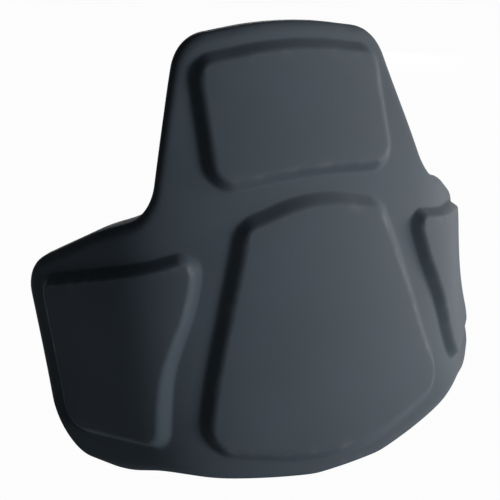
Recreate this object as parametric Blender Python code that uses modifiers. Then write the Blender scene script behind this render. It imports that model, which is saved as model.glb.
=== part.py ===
"""Boxing belly pad: a moulded foam body shield with a chest bib, raised blocks and a waist belt.

The pad is drawn as a flat pattern and then wrapped round the body. In the flat pattern s is the
girth from the centre line, z is the height and t is the depth, 0 on the cover's front and negative
towards the wearer. The front faces -Y, the wearer stands on the +Y side, left is -X.
"""

import math

import bmesh
import bpy
import numpy as np
from mathutils import Matrix, Vector

# Driving dimensions in metres: outline of the flat pattern
PAD_HEIGHT = 0.450
BIB_HALF_WIDTH = 0.116
BIB_CROWN = 0.012
BIB_CORNER_RADIUS = 0.050
ARMPIT_HEIGHT = 0.276
ARMPIT_HALF_WIDTH = 0.175
ARMPIT_RADIUS = 0.060
WING_BEND = (0.069, 0.0224)
WING_BEND_RADIUS = 0.300
WING_TOP_HEIGHT = 0.200
WING_GIRTH = 0.357
WING_FLARE = 0.002
WING_TOP_RADIUS = 0.050
WING_BOTTOM_RADIUS = 0.055
HEM_FLAT_HALF = 0.042
HEM_ARCH_HALF = 0.196
HEM_ARCH_HEIGHT = 0.0145
HEM_WING_START = 0.264
HEM_RADIUS = 0.200

# Shape that the flat pattern is wrapped to
FRONT_RADIUS = 0.600
FLANK_RADIUS = 0.104
FLANK_START = 0.152
FLANK_END = 0.207
BEND_EASE = 0.038
FLANK_CREASES = 8
HEIGHT_CREASES = 11
SETBACKS = (-0.1002, -0.0324, -0.0005, 0.0446, 0.0873)

# Layers, front to back
SKIN = 0.0015
CORE = 0.0182
BACKING = 0.0134
LINER = 0.0017
BINDING_WIDTH = 0.0045
BINDING_INSET = 0.001
RIM_ROUND = 0.011
SEAM = 0.0003

# Raised blocks on the front
BLOCK_HEIGHT = 0.012
BLOCK_ROUND = 0.0105
RAMP = 0.012
CHEST_TOP_DROP = 0.0315
CHEST_TOP_HALF = 0.104
CHEST_BOTTOM_HALF = 0.1063
CHEST_GAP = 0.035
CHEST_CROWN = 0.011
CHEST_ARCH = 0.008
CHEST_RADIUS = 0.022
BELLY_TOP_HEIGHT = 0.2657
BELLY_TOP_HALF = 0.082
BELLY_BOTTOM_HEIGHT = 0.0405
BELLY_BOTTOM_HALF = 0.155
BELLY_WAIST_BOW = 0.0025
BELLY_CROWN = 0.016
BELLY_DROP = 0.021
BELLY_RADIUS = 0.026
SIDE_TOP_INNER = (0.1275, 0.2466)
SIDE_BOTTOM_INNER = (0.1963, 0.0405)
SIDE_REAR_MARGIN = 0.031
SIDE_TOP_OUTER_HEIGHT = 0.194
SIDE_BOTTOM_OUTER_HEIGHT = 0.029
SIDE_RADIUS = 0.024

# Comfort pads on the wearer's side
COMFORT_THICKNESS = 0.008
COMFORT_ROUND = 0.006
COMFORT_RADIUS = 0.016
CHEST_COMFORT_HALF = 0.060
COMFORT_INSET = 0.020
SIDE_COMFORT_FRONT_INSET = 0.010
SIDE_COMFORT_REAR_MARGIN = 0.092

# Webbing, waist belt and shoulder straps
WEB = 0.0018
LAY_GAP = 0.0006
SEWN_CLEARANCE = 0.0009
BELT_WIDTH = 0.038
BELT_HEIGHT = 0.112
BELT_SEWN_MARGIN = 0.043
BELT_SEWN_LENGTH = 0.030
BELT_BEND_RADIUS = 0.012
BELT_LOOP_CLOSE = 0.0175
LEFT_TAIL_REACH = 0.195
RIGHT_TAIL_REACH = 0.128
PATCH = 0.0022
PATCH_BORDER = 0.008
PATCH_RADIUS = 0.008
PATCH_BACKSET = 0.0075
STRAP_WIDTH = 0.025
STRAP_SPACING = 0.090
STRAP_TOP_DROP = 0.034
STRAP_SEWN_LENGTH = 0.030
STRAP_BEND_REACH = 0.006
STRAP_TWIST_LENGTH = 0.050
STRAP_TAIL = 0.150

# Side-release buckle, measured from the mouth of its socket
SOCKET_LENGTH = 0.048
SOCKET_HEIGHT = 0.050
SOCKET_DEPTH = 0.0135
CAVITY_LENGTH = 0.034
CAVITY_HEIGHT = 0.042
CAVITY_DEPTH = 0.009
WINDOW = (0.014, 0.007)
WINDOW_INSET = 0.013
PLUG_LENGTH = 0.022
PLUG_DEPTH = 0.011
END_BAR = 0.0050
END_BAR_SEAT = 0.00125
WEB_SLOT = 0.0050
SLOT_HEIGHT = 0.0405
TONGUE = (0.030, 0.010, 0.006)
TONGUE_ROOT = 0.0024
PRONG_LENGTH = 0.0300
PRONG_ARM = 0.0050
PRONG_HEAD = (0.012, 0.0030)
PRONG_OFFSET = 0.0155
PRONG_DEPTH = 0.006
PRONG_SEAT = 0.0006
BUCKLE_ROUND = 0.0012

# Sliders, keeper and rivets
SLIDER_LENGTH = 0.026
SLIDER_WALL = 0.0030
SLIDER_RAIL = 0.0045
SLIDER_BAR = 0.0055
RUNNING = 0.0005
BELT_SLIDER_AT = STRAP_SPACING + 0.028
STRAP_SLIDER_AT = 0.062
KEEPER_AT = BELT_SLIDER_AT + 0.064
KEEPER_LENGTH = 0.014
KEEPER_WALL = 0.0012
RIVET_RADIUS = 0.0045
RIVET_TOP_RADIUS = 0.0027
RIVET_HEIGHT = 0.0022
RIVET_SPACING = 0.026

# How finely the shapes are drawn
MERGE = 0.00001
LEAST_RADIUS = 0.002
ARC_STEP = math.radians(20)
WIDE_ARC_STEP = math.radians(5)
WIDE_FROM = 0.100
SHARP_ANGLE = math.radians(35)
SECTION_STEPS = 900
SECTION_SPARE = 0.050
CREASE_SPARE = 0.030
NORMAL_STEP = 0.001
RIM_SEGMENTS = 3
ROUND_SEGMENTS = 2
BEND_STEPS = 4
LOOP_STEPS = 8
BAR_SIDES = 12
RIVET_SIDES = 14

# An edge with a crown is one arc from the middle of each half, three quarters as high as its corner
CROWN_SHARE = 0.75
WIDE_ARC = 10.0

THICKNESS = SKIN + CORE + BACKING + LINER + 3 * SEAM
CHEST_BOTTOM_HEIGHT = BELLY_TOP_HEIGHT + CHEST_GAP


def clear_scene():
    for item in list(bpy.data.objects):
        bpy.data.objects.remove(item, do_unlink=True)


def new_collection(name):
    group = bpy.data.collections.new(name)
    bpy.context.scene.collection.children.link(group)
    return group


def new_material(name, colour, roughness, metallic=0.0):
    made = bpy.data.materials.new(name)
    made.use_nodes = True
    shader = made.node_tree.nodes["Principled BSDF"]
    shader.inputs["Base Color"].default_value = (*colour, 1.0)
    shader.inputs["Roughness"].default_value = roughness
    shader.inputs["Metallic"].default_value = metallic
    return made


# Wrapping: girth and height to a place in space

def ease(start, end, value):
    share = np.clip((value - start) / (end - start), 0.0, 1.0)
    return share * share * (3.0 - 2.0 * share)


def section(girth):
    """Half of the horizontal section: x, y and heading at a girth, for arrays too."""
    fine = np.linspace(0.0, WING_GIRTH + WING_FLARE + SECTION_SPARE, SECTION_STEPS)
    into_flank = ease(FLANK_START - BEND_EASE, FLANK_START + BEND_EASE, fine)
    out_of_flank = ease(FLANK_END - BEND_EASE, FLANK_END + BEND_EASE, fine)
    curvature = 1 / FRONT_RADIUS + (1 / FLANK_RADIUS - 1 / FRONT_RADIUS) * into_flank
    curvature = curvature * (1 - out_of_flank)

    def running_sum(values):
        steps = (values[1:] + values[:-1]) / 2 * (fine[1] - fine[0])
        return np.concatenate([[0.0], np.cumsum(steps)])

    heading = running_sum(curvature)
    across = running_sum(np.cos(heading))
    back = running_sum(np.sin(heading))
    return [np.interp(girth, fine, values) for values in (across, back, heading)]


PROFILE = np.polyfit(np.linspace(0.0, PAD_HEIGHT, len(SETBACKS)), SETBACKS, len(SETBACKS) - 1)


def setback(height):
    """How far back the front surface stands at a height."""
    return np.polyval(PROFILE, height)


def crease_girths():
    """Girths at which the wrapped pattern is creased, right half."""
    start = FLANK_START - BEND_EASE
    end = FLANK_END + BEND_EASE
    flank = list(np.linspace(start, end, FLANK_CREASES))
    last = WING_GIRTH + WING_FLARE + CREASE_SPARE
    return [0.0, start / 2] + flank + [(end + last) / 2, last]


GIRTHS = crease_girths()
HEIGHTS = np.linspace(0.0, PAD_HEIGHT, HEIGHT_CREASES)
SECTION = section(np.array(GIRTHS))
SETBACK_AT = setback(HEIGHTS)


def wrap(girth, height, depth):
    """Place of a point of the flat pattern, on flat facets between the creases."""
    side = math.copysign(1.0, girth)
    across, back = (np.interp(abs(girth), GIRTHS, values) for values in SECTION[:2])
    right = np.interp(abs(girth), GIRTHS, np.sin(SECTION[2]))
    front = np.interp(abs(girth), GIRTHS, -np.cos(SECTION[2]))
    lean = np.interp(height, HEIGHTS, SETBACK_AT)
    return Vector((side * (across + depth * right), back + lean + depth * front, height))


# Outlines of the flat pattern

def rounded(corners):
    """Points along a closed outline, each corner (s, z, radius) drawn as an arc."""
    points = []
    count = len(corners)
    for index, (s, z, radius) in enumerate(corners):
        here = Vector((s, z))
        before = Vector(corners[index - 1][:2]) - here
        after = Vector(corners[(index + 1) % count][:2]) - here
        half = before.angle(after) / 2
        reach = min(radius / math.tan(half), before.length / 2, after.length / 2)
        arc_radius = reach * math.tan(half)
        middle = (before.normalized() + after.normalized()).normalized()
        centre = here + middle * (arc_radius / math.sin(half))
        start = here + before.normalized() * reach - centre
        turn = start.angle_signed(here + after.normalized() * reach - centre)
        steps = math.ceil(abs(turn) / (WIDE_ARC_STEP if radius > WIDE_FROM else ARC_STEP))
        for step in range(steps + 1):
            angle = -turn * step / steps
            points.append(centre + Matrix.Rotation(angle, 2) @ start)
    return points


def grown(corners, distance):
    """The outline moved outwards by a distance, inwards if it is negative."""
    moved = []
    count = len(corners)
    for index, (s, z, radius) in enumerate(corners):
        here = Vector((s, z))
        into = (here - Vector(corners[index - 1][:2])).normalized()
        out_of = (Vector(corners[(index + 1) % count][:2]) - here).normalized()
        normals = [Vector((way.y, -way.x)) for way in (into, out_of)]
        shift = (normals[0] + normals[1]) * (distance / (1 + normals[0].dot(normals[1])))
        bulges = into.cross(out_of) > 0
        new_radius = max(radius + (distance if bulges else -distance), LEAST_RADIUS)
        moved.append((s + shift.x, z + shift.y, new_radius))
    return moved


def mirrored(right_half):
    """A whole outline, anticlockwise, from its right half listed from bottom to top."""
    left_half = [(-s, z, radius) for s, z, radius in reversed(right_half) if s > 0]
    return right_half + left_half


def other_side(corners):
    return [(-s, z, radius) for s, z, radius in reversed(corners)]


def pad_outline():
    bend_out, bend_drop = WING_BEND
    return mirrored([
        (HEM_FLAT_HALF, 0.0, HEM_RADIUS),
        (HEM_ARCH_HALF, HEM_ARCH_HEIGHT, HEM_RADIUS),
        (HEM_WING_START, 0.0, HEM_RADIUS),
        (WING_GIRTH + WING_FLARE, 0.0, WING_BOTTOM_RADIUS),
        (WING_GIRTH, WING_TOP_HEIGHT, WING_TOP_RADIUS),
        (ARMPIT_HALF_WIDTH + bend_out, ARMPIT_HEIGHT - bend_drop, WING_BEND_RADIUS),
        (ARMPIT_HALF_WIDTH, ARMPIT_HEIGHT, ARMPIT_RADIUS),
        (BIB_HALF_WIDTH, PAD_HEIGHT - BIB_CROWN, BIB_CORNER_RADIUS),
        (0.0, PAD_HEIGHT - BIB_CROWN + BIB_CROWN / CROWN_SHARE, WIDE_ARC),
    ])


def chest_outline():
    top = PAD_HEIGHT - CHEST_TOP_DROP
    return mirrored([
        (0.0, CHEST_BOTTOM_HEIGHT + CHEST_ARCH / CROWN_SHARE, WIDE_ARC),
        (CHEST_BOTTOM_HALF, CHEST_BOTTOM_HEIGHT, CHEST_RADIUS),
        (CHEST_TOP_HALF, top, CHEST_RADIUS),
        (0.0, top + CHEST_CROWN / CROWN_SHARE, WIDE_ARC),
    ])


def belly_outline():
    waist_half = (BELLY_TOP_HALF + BELLY_BOTTOM_HALF) / 2 + BELLY_WAIST_BOW
    waist_height = (BELLY_TOP_HEIGHT + BELLY_BOTTOM_HEIGHT) / 2
    return mirrored([
        (0.0, BELLY_BOTTOM_HEIGHT - BELLY_DROP / CROWN_SHARE, WIDE_ARC),
        (BELLY_BOTTOM_HALF, BELLY_BOTTOM_HEIGHT, BELLY_RADIUS),
        (waist_half, waist_height, WIDE_ARC),
        (BELLY_TOP_HALF, BELLY_TOP_HEIGHT, BELLY_RADIUS),
        (0.0, BELLY_TOP_HEIGHT + BELLY_CROWN / CROWN_SHARE, WIDE_ARC),
    ])


def side_outline():
    rear = WING_GIRTH - SIDE_REAR_MARGIN
    return [
        (*SIDE_BOTTOM_INNER, SIDE_RADIUS),
        (rear + WING_FLARE, SIDE_BOTTOM_OUTER_HEIGHT, SIDE_RADIUS),
        (rear, SIDE_TOP_OUTER_HEIGHT, SIDE_RADIUS),
        (*SIDE_TOP_INNER, SIDE_RADIUS),
    ]


def rectangle(s_low, s_high, z_low, z_high, radius):
    return [
        (s_low, z_low, radius),
        (s_high, z_low, radius),
        (s_high, z_high, radius),
        (s_low, z_high, radius),
    ]


# Solids of the flat pattern

def add_object(name, mesh, material):
    made = bpy.data.objects.new(name, mesh)
    parts.objects.link(made)
    mesh.materials.append(material)
    mesh.shade_smooth()
    mesh.set_sharp_from_angle(angle=SHARP_ANGLE)
    return made


def flat_solid(outline, back, front):
    """A flat solid with the outline's shape, its depth along Y and its front towards +Y."""
    work = bmesh.new()
    verts = [work.verts.new((point.x, front, point.y)) for point in outline]
    face = work.faces.new(verts)
    extruded = bmesh.ops.extrude_face_region(work, geom=[face])["geom"]
    moved = [item for item in extruded if isinstance(item, bmesh.types.BMVert)]
    bmesh.ops.translate(work, verts=moved, vec=(0.0, back - front, 0.0))
    bmesh.ops.remove_doubles(work, verts=work.verts[:], dist=MERGE)
    bmesh.ops.recalc_face_normals(work, faces=work.faces[:])
    return work


def round_rim(work, depth, radius, segments):
    """Rounds the edges that lie at one depth of a flat solid."""
    rim = [edge for edge in work.edges if all(abs(vert.co.y - depth) < MERGE for vert in edge.verts)]
    bmesh.ops.bevel(work, geom=rim, offset=radius, segments=segments, profile=0.5, affect="EDGES")


def wrap_mesh(name, work, material):
    """Creases a flat solid along the wrap's lines, wraps it and makes it an object."""
    lines = [((side * girth, 0, 0), (1, 0, 0)) for girth in GIRTHS for side in (-1, 1)]
    lines += [((0, 0, height), (0, 0, 1)) for height in HEIGHTS]
    for place, normal in lines:
        everything = work.verts[:] + work.edges[:] + work.faces[:]
        bmesh.ops.bisect_plane(work, geom=everything, dist=MERGE, plane_co=place, plane_no=normal)
    for vert in work.verts:
        vert.co = wrap(vert.co.x, vert.co.z, vert.co.y)
    # The shorter diagonal is the same one in neighbouring layers, so that they stay parallel
    bmesh.ops.triangulate(work, faces=work.faces[:], quad_method="SHORT_EDGE")
    if work.calc_volume(signed=True) < 0:
        bmesh.ops.reverse_faces(work, faces=work.faces[:])
    mesh = bpy.data.meshes.new(name)
    work.to_mesh(mesh)
    work.free()
    return add_object(name, mesh, material)


def front_skin(corners, back, material):
    """The cover over the front and round the rim: an open tray with Solidify, then wrapped."""
    work = flat_solid(rounded(corners), back, 0.0)
    round_rim(work, 0.0, RIM_ROUND, RIM_SEGMENTS)
    rear = [face for face in work.faces if all(abs(vert.co.y - back) < MERGE for vert in face.verts)]
    bmesh.ops.delete(work, geom=rear, context="FACES")
    mesh = bpy.data.meshes.new("tray")
    work.to_mesh(mesh)
    work.free()
    tray = bpy.data.objects.new("tray", mesh)
    parts.objects.link(tray)
    shell = tray.modifiers.new("Shell", "SOLIDIFY")
    shell.thickness = SKIN
    shell.offset = -1
    shell.use_even_offset = True
    solid = bpy.data.meshes.new_from_object(tray.evaluated_get(bpy.context.evaluated_depsgraph_get()))
    bpy.data.objects.remove(tray, do_unlink=True)
    work = bmesh.new()
    work.from_mesh(solid)
    bpy.data.meshes.remove(solid)
    return wrap_mesh("front_skin", work, material)


def layer(name, corners, back, front, material, front_round=0.0, back_round=0.0, segments=ROUND_SEGMENTS):
    work = flat_solid(rounded(corners), back, front)
    if front_round:
        round_rim(work, front, front_round, segments)
    if back_round:
        round_rim(work, back, back_round, segments)
    return wrap_mesh(name, work, material)


def rim_band(name, corners, width, back, front, material):
    """A band along the outline, as wide as width, such as the rear binding."""
    outer = rounded(corners)
    inner = rounded(grown(corners, -width))
    work = bmesh.new()
    rings = [[work.verts.new((point.x, front, point.y)) for point in ring] for ring in (outer, inner)]
    for index in range(len(outer)):
        work.faces.new([rings[0][index - 1], rings[0][index], rings[1][index], rings[1][index - 1]])
    extruded = bmesh.ops.extrude_face_region(work, geom=work.faces[:])["geom"]
    moved = [item for item in extruded if isinstance(item, bmesh.types.BMVert)]
    bmesh.ops.translate(work, verts=moved, vec=(0.0, back - front, 0.0))
    bmesh.ops.remove_doubles(work, verts=work.verts[:], dist=MERGE)
    bmesh.ops.dissolve_degenerate(work, dist=MERGE, edges=work.edges[:])
    return wrap_mesh(name, work, material)


# Webbing and hardware

def ribbon(name, path, widths, material):
    """A strip of webbing along a path, with the vector across its width at each point."""
    work = bmesh.new()
    rows = []
    for point, width in zip(path, widths):
        rows.append([work.verts.new(point - width / 2), work.verts.new(point + width / 2)])
    for first, second in zip(rows, rows[1:]):
        work.faces.new([first[0], first[1], second[1], second[0]])
    mesh = bpy.data.meshes.new(name)
    work.to_mesh(mesh)
    work.free()
    made = add_object(name, mesh, material)
    thickness = made.modifiers.new("Webbing", "SOLIDIFY")
    thickness.thickness = WEB
    thickness.offset = 0
    thickness.use_even_offset = True
    return made


def arc(centre, first, second, radius, start, end, steps):
    """Points on an arc in the plane of two unit directions, angles in degrees."""
    points = []
    for step in range(steps + 1):
        angle = math.radians(start + (end - start) * step / steps)
        points.append(centre + first * (radius * math.cos(angle)) + second * (radius * math.sin(angle)))
    return points


def bend(first, corner, last, steps):
    """Points of a smooth bend from first to last, tangent to the lines through the corner."""
    shares = [step / steps for step in range(steps + 1)]
    return [first * (1 - t) ** 2 + corner * (2 * t * (1 - t)) + last * t ** 2 for t in shares]


def box_mesh(name, low, high, rounding=0.0):
    work = bmesh.new()
    bmesh.ops.create_cube(work, size=1.0)
    bmesh.ops.scale(work, verts=work.verts[:], vec=Vector(high) - Vector(low))
    bmesh.ops.translate(work, verts=work.verts[:], vec=(Vector(high) + Vector(low)) / 2)
    if rounding:
        bmesh.ops.bevel(
            work, geom=work.edges[:], offset=rounding, segments=ROUND_SEGMENTS, profile=0.5, affect="EDGES")
    mesh = bpy.data.meshes.new(name)
    work.to_mesh(mesh)
    work.free()
    return mesh


def round_mesh(name, radius, top_radius, height, sides):
    """A round peg along Z, centred, with its own radius at the top."""
    work = bmesh.new()
    bmesh.ops.create_cone(
        work, cap_ends=True, segments=sides, radius1=radius, radius2=top_radius, depth=height)
    mesh = bpy.data.meshes.new(name)
    work.to_mesh(mesh)
    work.free()
    return mesh


def reshape(target, tool_mesh, place=(0.0, 0.0, 0.0), operation="DIFFERENCE"):
    """Cuts a tool from a piece, or joins it on, in the piece's own space."""
    tool = bpy.data.objects.new(tool_mesh.name, tool_mesh)
    cutters.objects.link(tool)
    tool.parent = target
    tool.location = place
    tool.hide_render = True
    tool.display_type = "WIRE"
    change = target.modifiers.new(operation.title(), "BOOLEAN")
    change.operation = operation
    change.object = tool


def framed(name, mesh, material, origin, along, out, up):
    """An object whose own X, Y and Z run along, outwards and up from an origin."""
    made = add_object(name, mesh, material)
    made.matrix_world = Matrix.Translation(origin) @ Matrix((along, out, up)).transposed().to_4x4()
    return made


def belt_directions():
    """Directions of the belt: along it, away from the wearer's front and up its width."""
    slope = np.polyval(np.polyder(PROFILE), BELT_HEIGHT)
    up = Vector((0.0, slope, 1.0)).normalized()
    along = Vector((1.0, 0.0, 0.0))
    return along, up.cross(along), up


LAY_OFFSET = (WEB + LAY_GAP) / 2
LAYS = 2 * WEB + LAY_GAP
WEB_DEPTH = THICKNESS + SEAM + SEWN_CLEARANCE + WEB / 2
PATCH_FRONT = -(WEB_DEPTH + WEB / 2 + SEWN_CLEARANCE)
BELT_SEWN_GIRTH = WING_GIRTH - BELT_SEWN_MARGIN
BAR_RADIUS = END_BAR / 2
MOUTH_AT = (SOCKET_LENGTH - PLUG_LENGTH) / 2


def belt_line():
    """Where the belt leaves the right wing: sewn end, leaving point, corner and start of the run."""
    along = belt_directions()[0]
    fixed = wrap(BELT_SEWN_GIRTH + BELT_SEWN_LENGTH / 2, BELT_HEIGHT, -WEB_DEPTH)
    leaving = wrap(BELT_SEWN_GIRTH - BELT_SEWN_LENGTH / 2, BELT_HEIGHT, -WEB_DEPTH)
    heading = (fixed - leaving).normalized()
    reach = BELT_BEND_RADIUS * math.tan(heading.angle(along) / 2)
    corner = leaving - heading * reach
    return fixed, leaving, corner, corner - along * reach


def belt_centre(x):
    """The middle between the belt's two lays at a place along it."""
    start = belt_line()[3]
    out = belt_directions()[1]
    return Vector((x, start.y, start.z)) + out * LAY_OFFSET


def belt_half(name, side, tail_reach, material):
    """One half of the belt: sewn to the wing, round the buckle's bar and back as a tail."""
    along, out, up = belt_directions()
    away = along * side
    fixed, leaving, corner, start = [Vector((side * p.x, p.y, p.z)) for p in belt_line()]
    bar = belt_centre(side * (MOUTH_AT + PLUG_LENGTH - BAR_RADIUS))
    meet = bar + away * BELT_LOOP_CLOSE
    path = [fixed] + bend(leaving, corner, start, BEND_STEPS)
    path += [meet - out * LAY_OFFSET]
    path += arc(bar, away * -1, out * -1, BAR_RADIUS + SEAM + WEB / 2, 90, -90, LOOP_STEPS)
    path += [meet + out * LAY_OFFSET]
    path += [belt_centre(side * tail_reach) + out * LAY_OFFSET]
    ribbon(name, path, [up * BELT_WIDTH] * len(path), material)


def buckle_end(target, length, depth):
    """The open fork and round bar at the webbing end of a buckle half, towards -X or +X."""
    side = math.copysign(1.0, length)
    slot_end = length - side * (END_BAR + WEB_SLOT)
    past_end = length + side * depth
    low = (min(slot_end, past_end), -depth, -SLOT_HEIGHT / 2)
    high = (max(slot_end, past_end), depth, SLOT_HEIGHT / 2)
    reshape(target, box_mesh("fork_cut", low, high))
    bar = round_mesh("bar", BAR_RADIUS, BAR_RADIUS, SLOT_HEIGHT + 2 * END_BAR_SEAT, BAR_SIDES)
    reshape(target, bar, (length - side * BAR_RADIUS, 0, 0), "UNION")


def buckle(material):
    along, out, up = belt_directions()
    mouth = belt_centre(MOUTH_AT)
    frame = (mouth, along, out, up)
    low = (-SOCKET_LENGTH, -SOCKET_DEPTH / 2, -SOCKET_HEIGHT / 2)
    high = (0, SOCKET_DEPTH / 2, SOCKET_HEIGHT / 2)
    socket = framed("buckle_socket", box_mesh("socket", low, high, BUCKLE_ROUND), material, *frame)
    low = (-CAVITY_LENGTH, -CAVITY_DEPTH / 2, -CAVITY_HEIGHT / 2)
    high = (CAVITY_LENGTH, CAVITY_DEPTH / 2, CAVITY_HEIGHT / 2)
    reshape(socket, box_mesh("cavity", low, high))
    low = (-WINDOW_INSET - WINDOW[0], -WINDOW[1] / 2, -SOCKET_HEIGHT)
    high = (-WINDOW_INSET, WINDOW[1] / 2, SOCKET_HEIGHT)
    reshape(socket, box_mesh("window", low, high))
    buckle_end(socket, -SOCKET_LENGTH, SOCKET_DEPTH)
    low = (0, -PLUG_DEPTH / 2, -SOCKET_HEIGHT / 2)
    high = (PLUG_LENGTH, PLUG_DEPTH / 2, SOCKET_HEIGHT / 2)
    plug = framed("buckle_plug", box_mesh("plug", low, high, BUCKLE_ROUND), material, *frame)
    plug.location += along * SEAM
    buckle_end(plug, PLUG_LENGTH, PLUG_DEPTH)
    tongue_length, tongue_height, tongue_depth = TONGUE
    low = (-tongue_length, -tongue_depth / 2, -tongue_height / 2)
    high = (TONGUE_ROOT, tongue_depth / 2, tongue_height / 2)
    reshape(plug, box_mesh("tongue", low, high), operation="UNION")
    head_length, head_setback = PRONG_HEAD
    reach = CAVITY_HEIGHT / 2 - RUNNING - PRONG_OFFSET
    for name, side in (("buckle_prong_upper", 1), ("buckle_prong_lower", -1)):
        pivot = mouth + up * (side * PRONG_OFFSET) - along * PRONG_SEAT
        low = (-PRONG_LENGTH, -PRONG_DEPTH / 2, -PRONG_ARM / 2)
        high = (0, PRONG_DEPTH / 2, PRONG_ARM / 2)
        prong = framed(name, box_mesh(name, low, high, BUCKLE_ROUND / 2), material, pivot, along, out, up)
        head = sorted((0, side * reach))
        low = (-PRONG_LENGTH + head_setback, -PRONG_DEPTH / 2, head[0])
        high = (-PRONG_LENGTH + head_setback + head_length, PRONG_DEPTH / 2, head[1])
        reshape(prong, box_mesh("head", low, high), operation="UNION")


def slider(name, origin, along, out, up, web_width, material):
    """A three-bar slider: two end bars over the webbing and one bar behind it."""
    inside_height = web_width / 2 + RUNNING
    inside_depth = LAYS / 2 + RUNNING
    height = inside_height + SLIDER_RAIL
    depth = inside_depth + SLIDER_WALL
    half = SLIDER_LENGTH / 2
    block = box_mesh(name, (-half, -depth, -height), (half, depth, height), BUCKLE_ROUND)
    made = framed(name, block, material, origin, along, out, up)
    tunnel = ((-SLIDER_LENGTH, -inside_depth, -inside_height), (SLIDER_LENGTH, inside_depth, inside_height))
    reshape(made, box_mesh("tunnel", *tunnel))
    window = half - SLIDER_BAR
    reshape(made, box_mesh("front_window", (-window, 0, -inside_height), (window, depth * 2, inside_height)))
    for side in (-1, 1):
        ends = sorted((side * SLIDER_BAR / 2, side * SLIDER_LENGTH))
        low = (ends[0], -depth * 2, -inside_height)
        high = (ends[1], 0, inside_height)
        reshape(made, box_mesh("rear_window", low, high))


def keeper(name, x, material):
    """A flat sleeve that holds the belt's tail down."""
    half = KEEPER_LENGTH / 2
    depth = LAYS / 2 + SEAM
    height = BELT_WIDTH / 2 + SEAM
    low = (-half, -depth - KEEPER_WALL, -height - KEEPER_WALL)
    high = (half, depth + KEEPER_WALL, height + KEEPER_WALL)
    made = framed(name, box_mesh(name, low, high), material, belt_centre(x), *belt_directions())
    low = (-KEEPER_LENGTH, -depth, -height)
    high = (KEEPER_LENGTH, depth, height)
    reshape(made, box_mesh("sleeve", low, high))


def strap_run(side):
    """Start and directions of the straight part of a shoulder strap, going up from the belt."""
    along, out, up = belt_directions()
    centre = belt_centre(side * STRAP_SPACING)
    foot = centre + up * (BELT_WIDTH / 2 + STRAP_WIDTH / 2)
    top = wrap(STRAP_SPACING, PAD_HEIGHT - STRAP_TOP_DROP - STRAP_SEWN_LENGTH, -WEB_DEPTH)
    rise = Vector((0.0, top.y - foot.y, top.z - foot.z)).normalized()
    return centre, foot, rise, along.cross(rise) * -1


def shoulder_strap(name, side, material):
    """Sewn to the bib, down to the belt, round it and back up as a tail."""
    along, out, up = belt_directions()
    centre, foot, rise, away = strap_run(side)
    girth = side * STRAP_SPACING
    top_height = PAD_HEIGHT - STRAP_TOP_DROP
    fixed = wrap(girth, top_height, -WEB_DEPTH)
    leaving = wrap(girth, top_height - STRAP_SEWN_LENGTH, -WEB_DEPTH)
    beside = wrap(girth + side * STRAP_WIDTH, top_height, -WEB_DEPTH)
    tangent = (beside - fixed).normalized() * side
    down = (leaving - fixed).normalized()
    main_foot = foot + away * LAY_OFFSET
    corner = leaving + down * STRAP_BEND_REACH
    main_foot.x = corner.x
    run_start = corner + (main_foot - corner).normalized() * STRAP_BEND_REACH
    settled = run_start + (main_foot - run_start).normalized() * STRAP_TWIST_LENGTH
    path = [fixed] + bend(leaving, corner, run_start, BEND_STEPS)
    widths = [tangent * STRAP_WIDTH] * len(path)
    loop_radius = LAYS / 2 + RUNNING + WEB / 2
    lower = centre - up * (BELT_WIDTH / 2)
    upper = centre + up * (BELT_WIDTH / 2)
    loop = [settled, main_foot, upper + out * loop_radius]
    loop += arc(lower, out, up * -1, loop_radius, 0, 180, LOOP_STEPS)
    loop += [upper - out * loop_radius, foot - away * LAY_OFFSET]
    loop += [foot - away * LAY_OFFSET + rise * STRAP_TAIL]
    for point in loop:
        point.x = corner.x
    path += loop
    widths += [along * STRAP_WIDTH] * len(loop)
    ribbon(name, path, widths, material)
    return corner.x


def rivet(name, girth, height, depth, material):
    """A low round head that sits on a patch."""
    place = wrap(girth, height, depth)
    across = wrap(girth + NORMAL_STEP, height, depth) - place
    upward = wrap(girth, height + NORMAL_STEP, depth) - place
    normal = upward.cross(across).normalized()
    mesh = round_mesh(name, RIVET_RADIUS, RIVET_TOP_RADIUS, RIVET_HEIGHT, RIVET_SIDES)
    made = add_object(name, mesh, material)
    turn = normal.to_track_quat("Z", "Y").to_matrix().to_4x4()
    made.matrix_world = Matrix.Translation(place + normal * (SEAM + RIVET_HEIGHT / 2)) @ turn


def patch_with_rivets(name, side, s_low, s_high, z_low, z_high, material, metal):
    """A reinforcing patch over a sewn webbing end, with two rivets side by side or stacked."""
    corners = rectangle(s_low, s_high, z_low, z_high, PATCH_RADIUS)
    if side < 0:
        corners = other_side(corners)
    back = PATCH_FRONT - PATCH
    layer(name, corners, back, PATCH_FRONT, material)
    girth = side * (s_low + s_high) / 2
    height = (z_low + z_high) / 2
    upright = z_high - z_low > s_high - s_low
    for index, way in enumerate((-1, 1)):
        step = way * RIVET_SPACING / 2
        spot = (girth, height + step) if upright else (girth + step, height)
        rivet(f"{name}_rivet_{index + 1}", *spot, back, metal)


def stand_on_origin():
    """Moves the model so that the middle of its bounding box's base is at the origin."""
    bpy.context.view_layer.update()
    graph = bpy.context.evaluated_depsgraph_get()
    corners = []
    for item in parts.objects:
        shape = item.evaluated_get(graph)
        corners += [shape.matrix_world @ Vector(corner) for corner in shape.bound_box]
    low = Vector([min(corner[axis] for corner in corners) for axis in range(3)])
    high = Vector([max(corner[axis] for corner in corners) for axis in range(3)])
    for item in parts.objects:
        item.location -= Vector(((low.x + high.x) / 2, (low.y + high.y) / 2, low.z))


clear_scene()
parts = new_collection("boxing_belly_pad")
cutters = new_collection("cutters")

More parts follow.
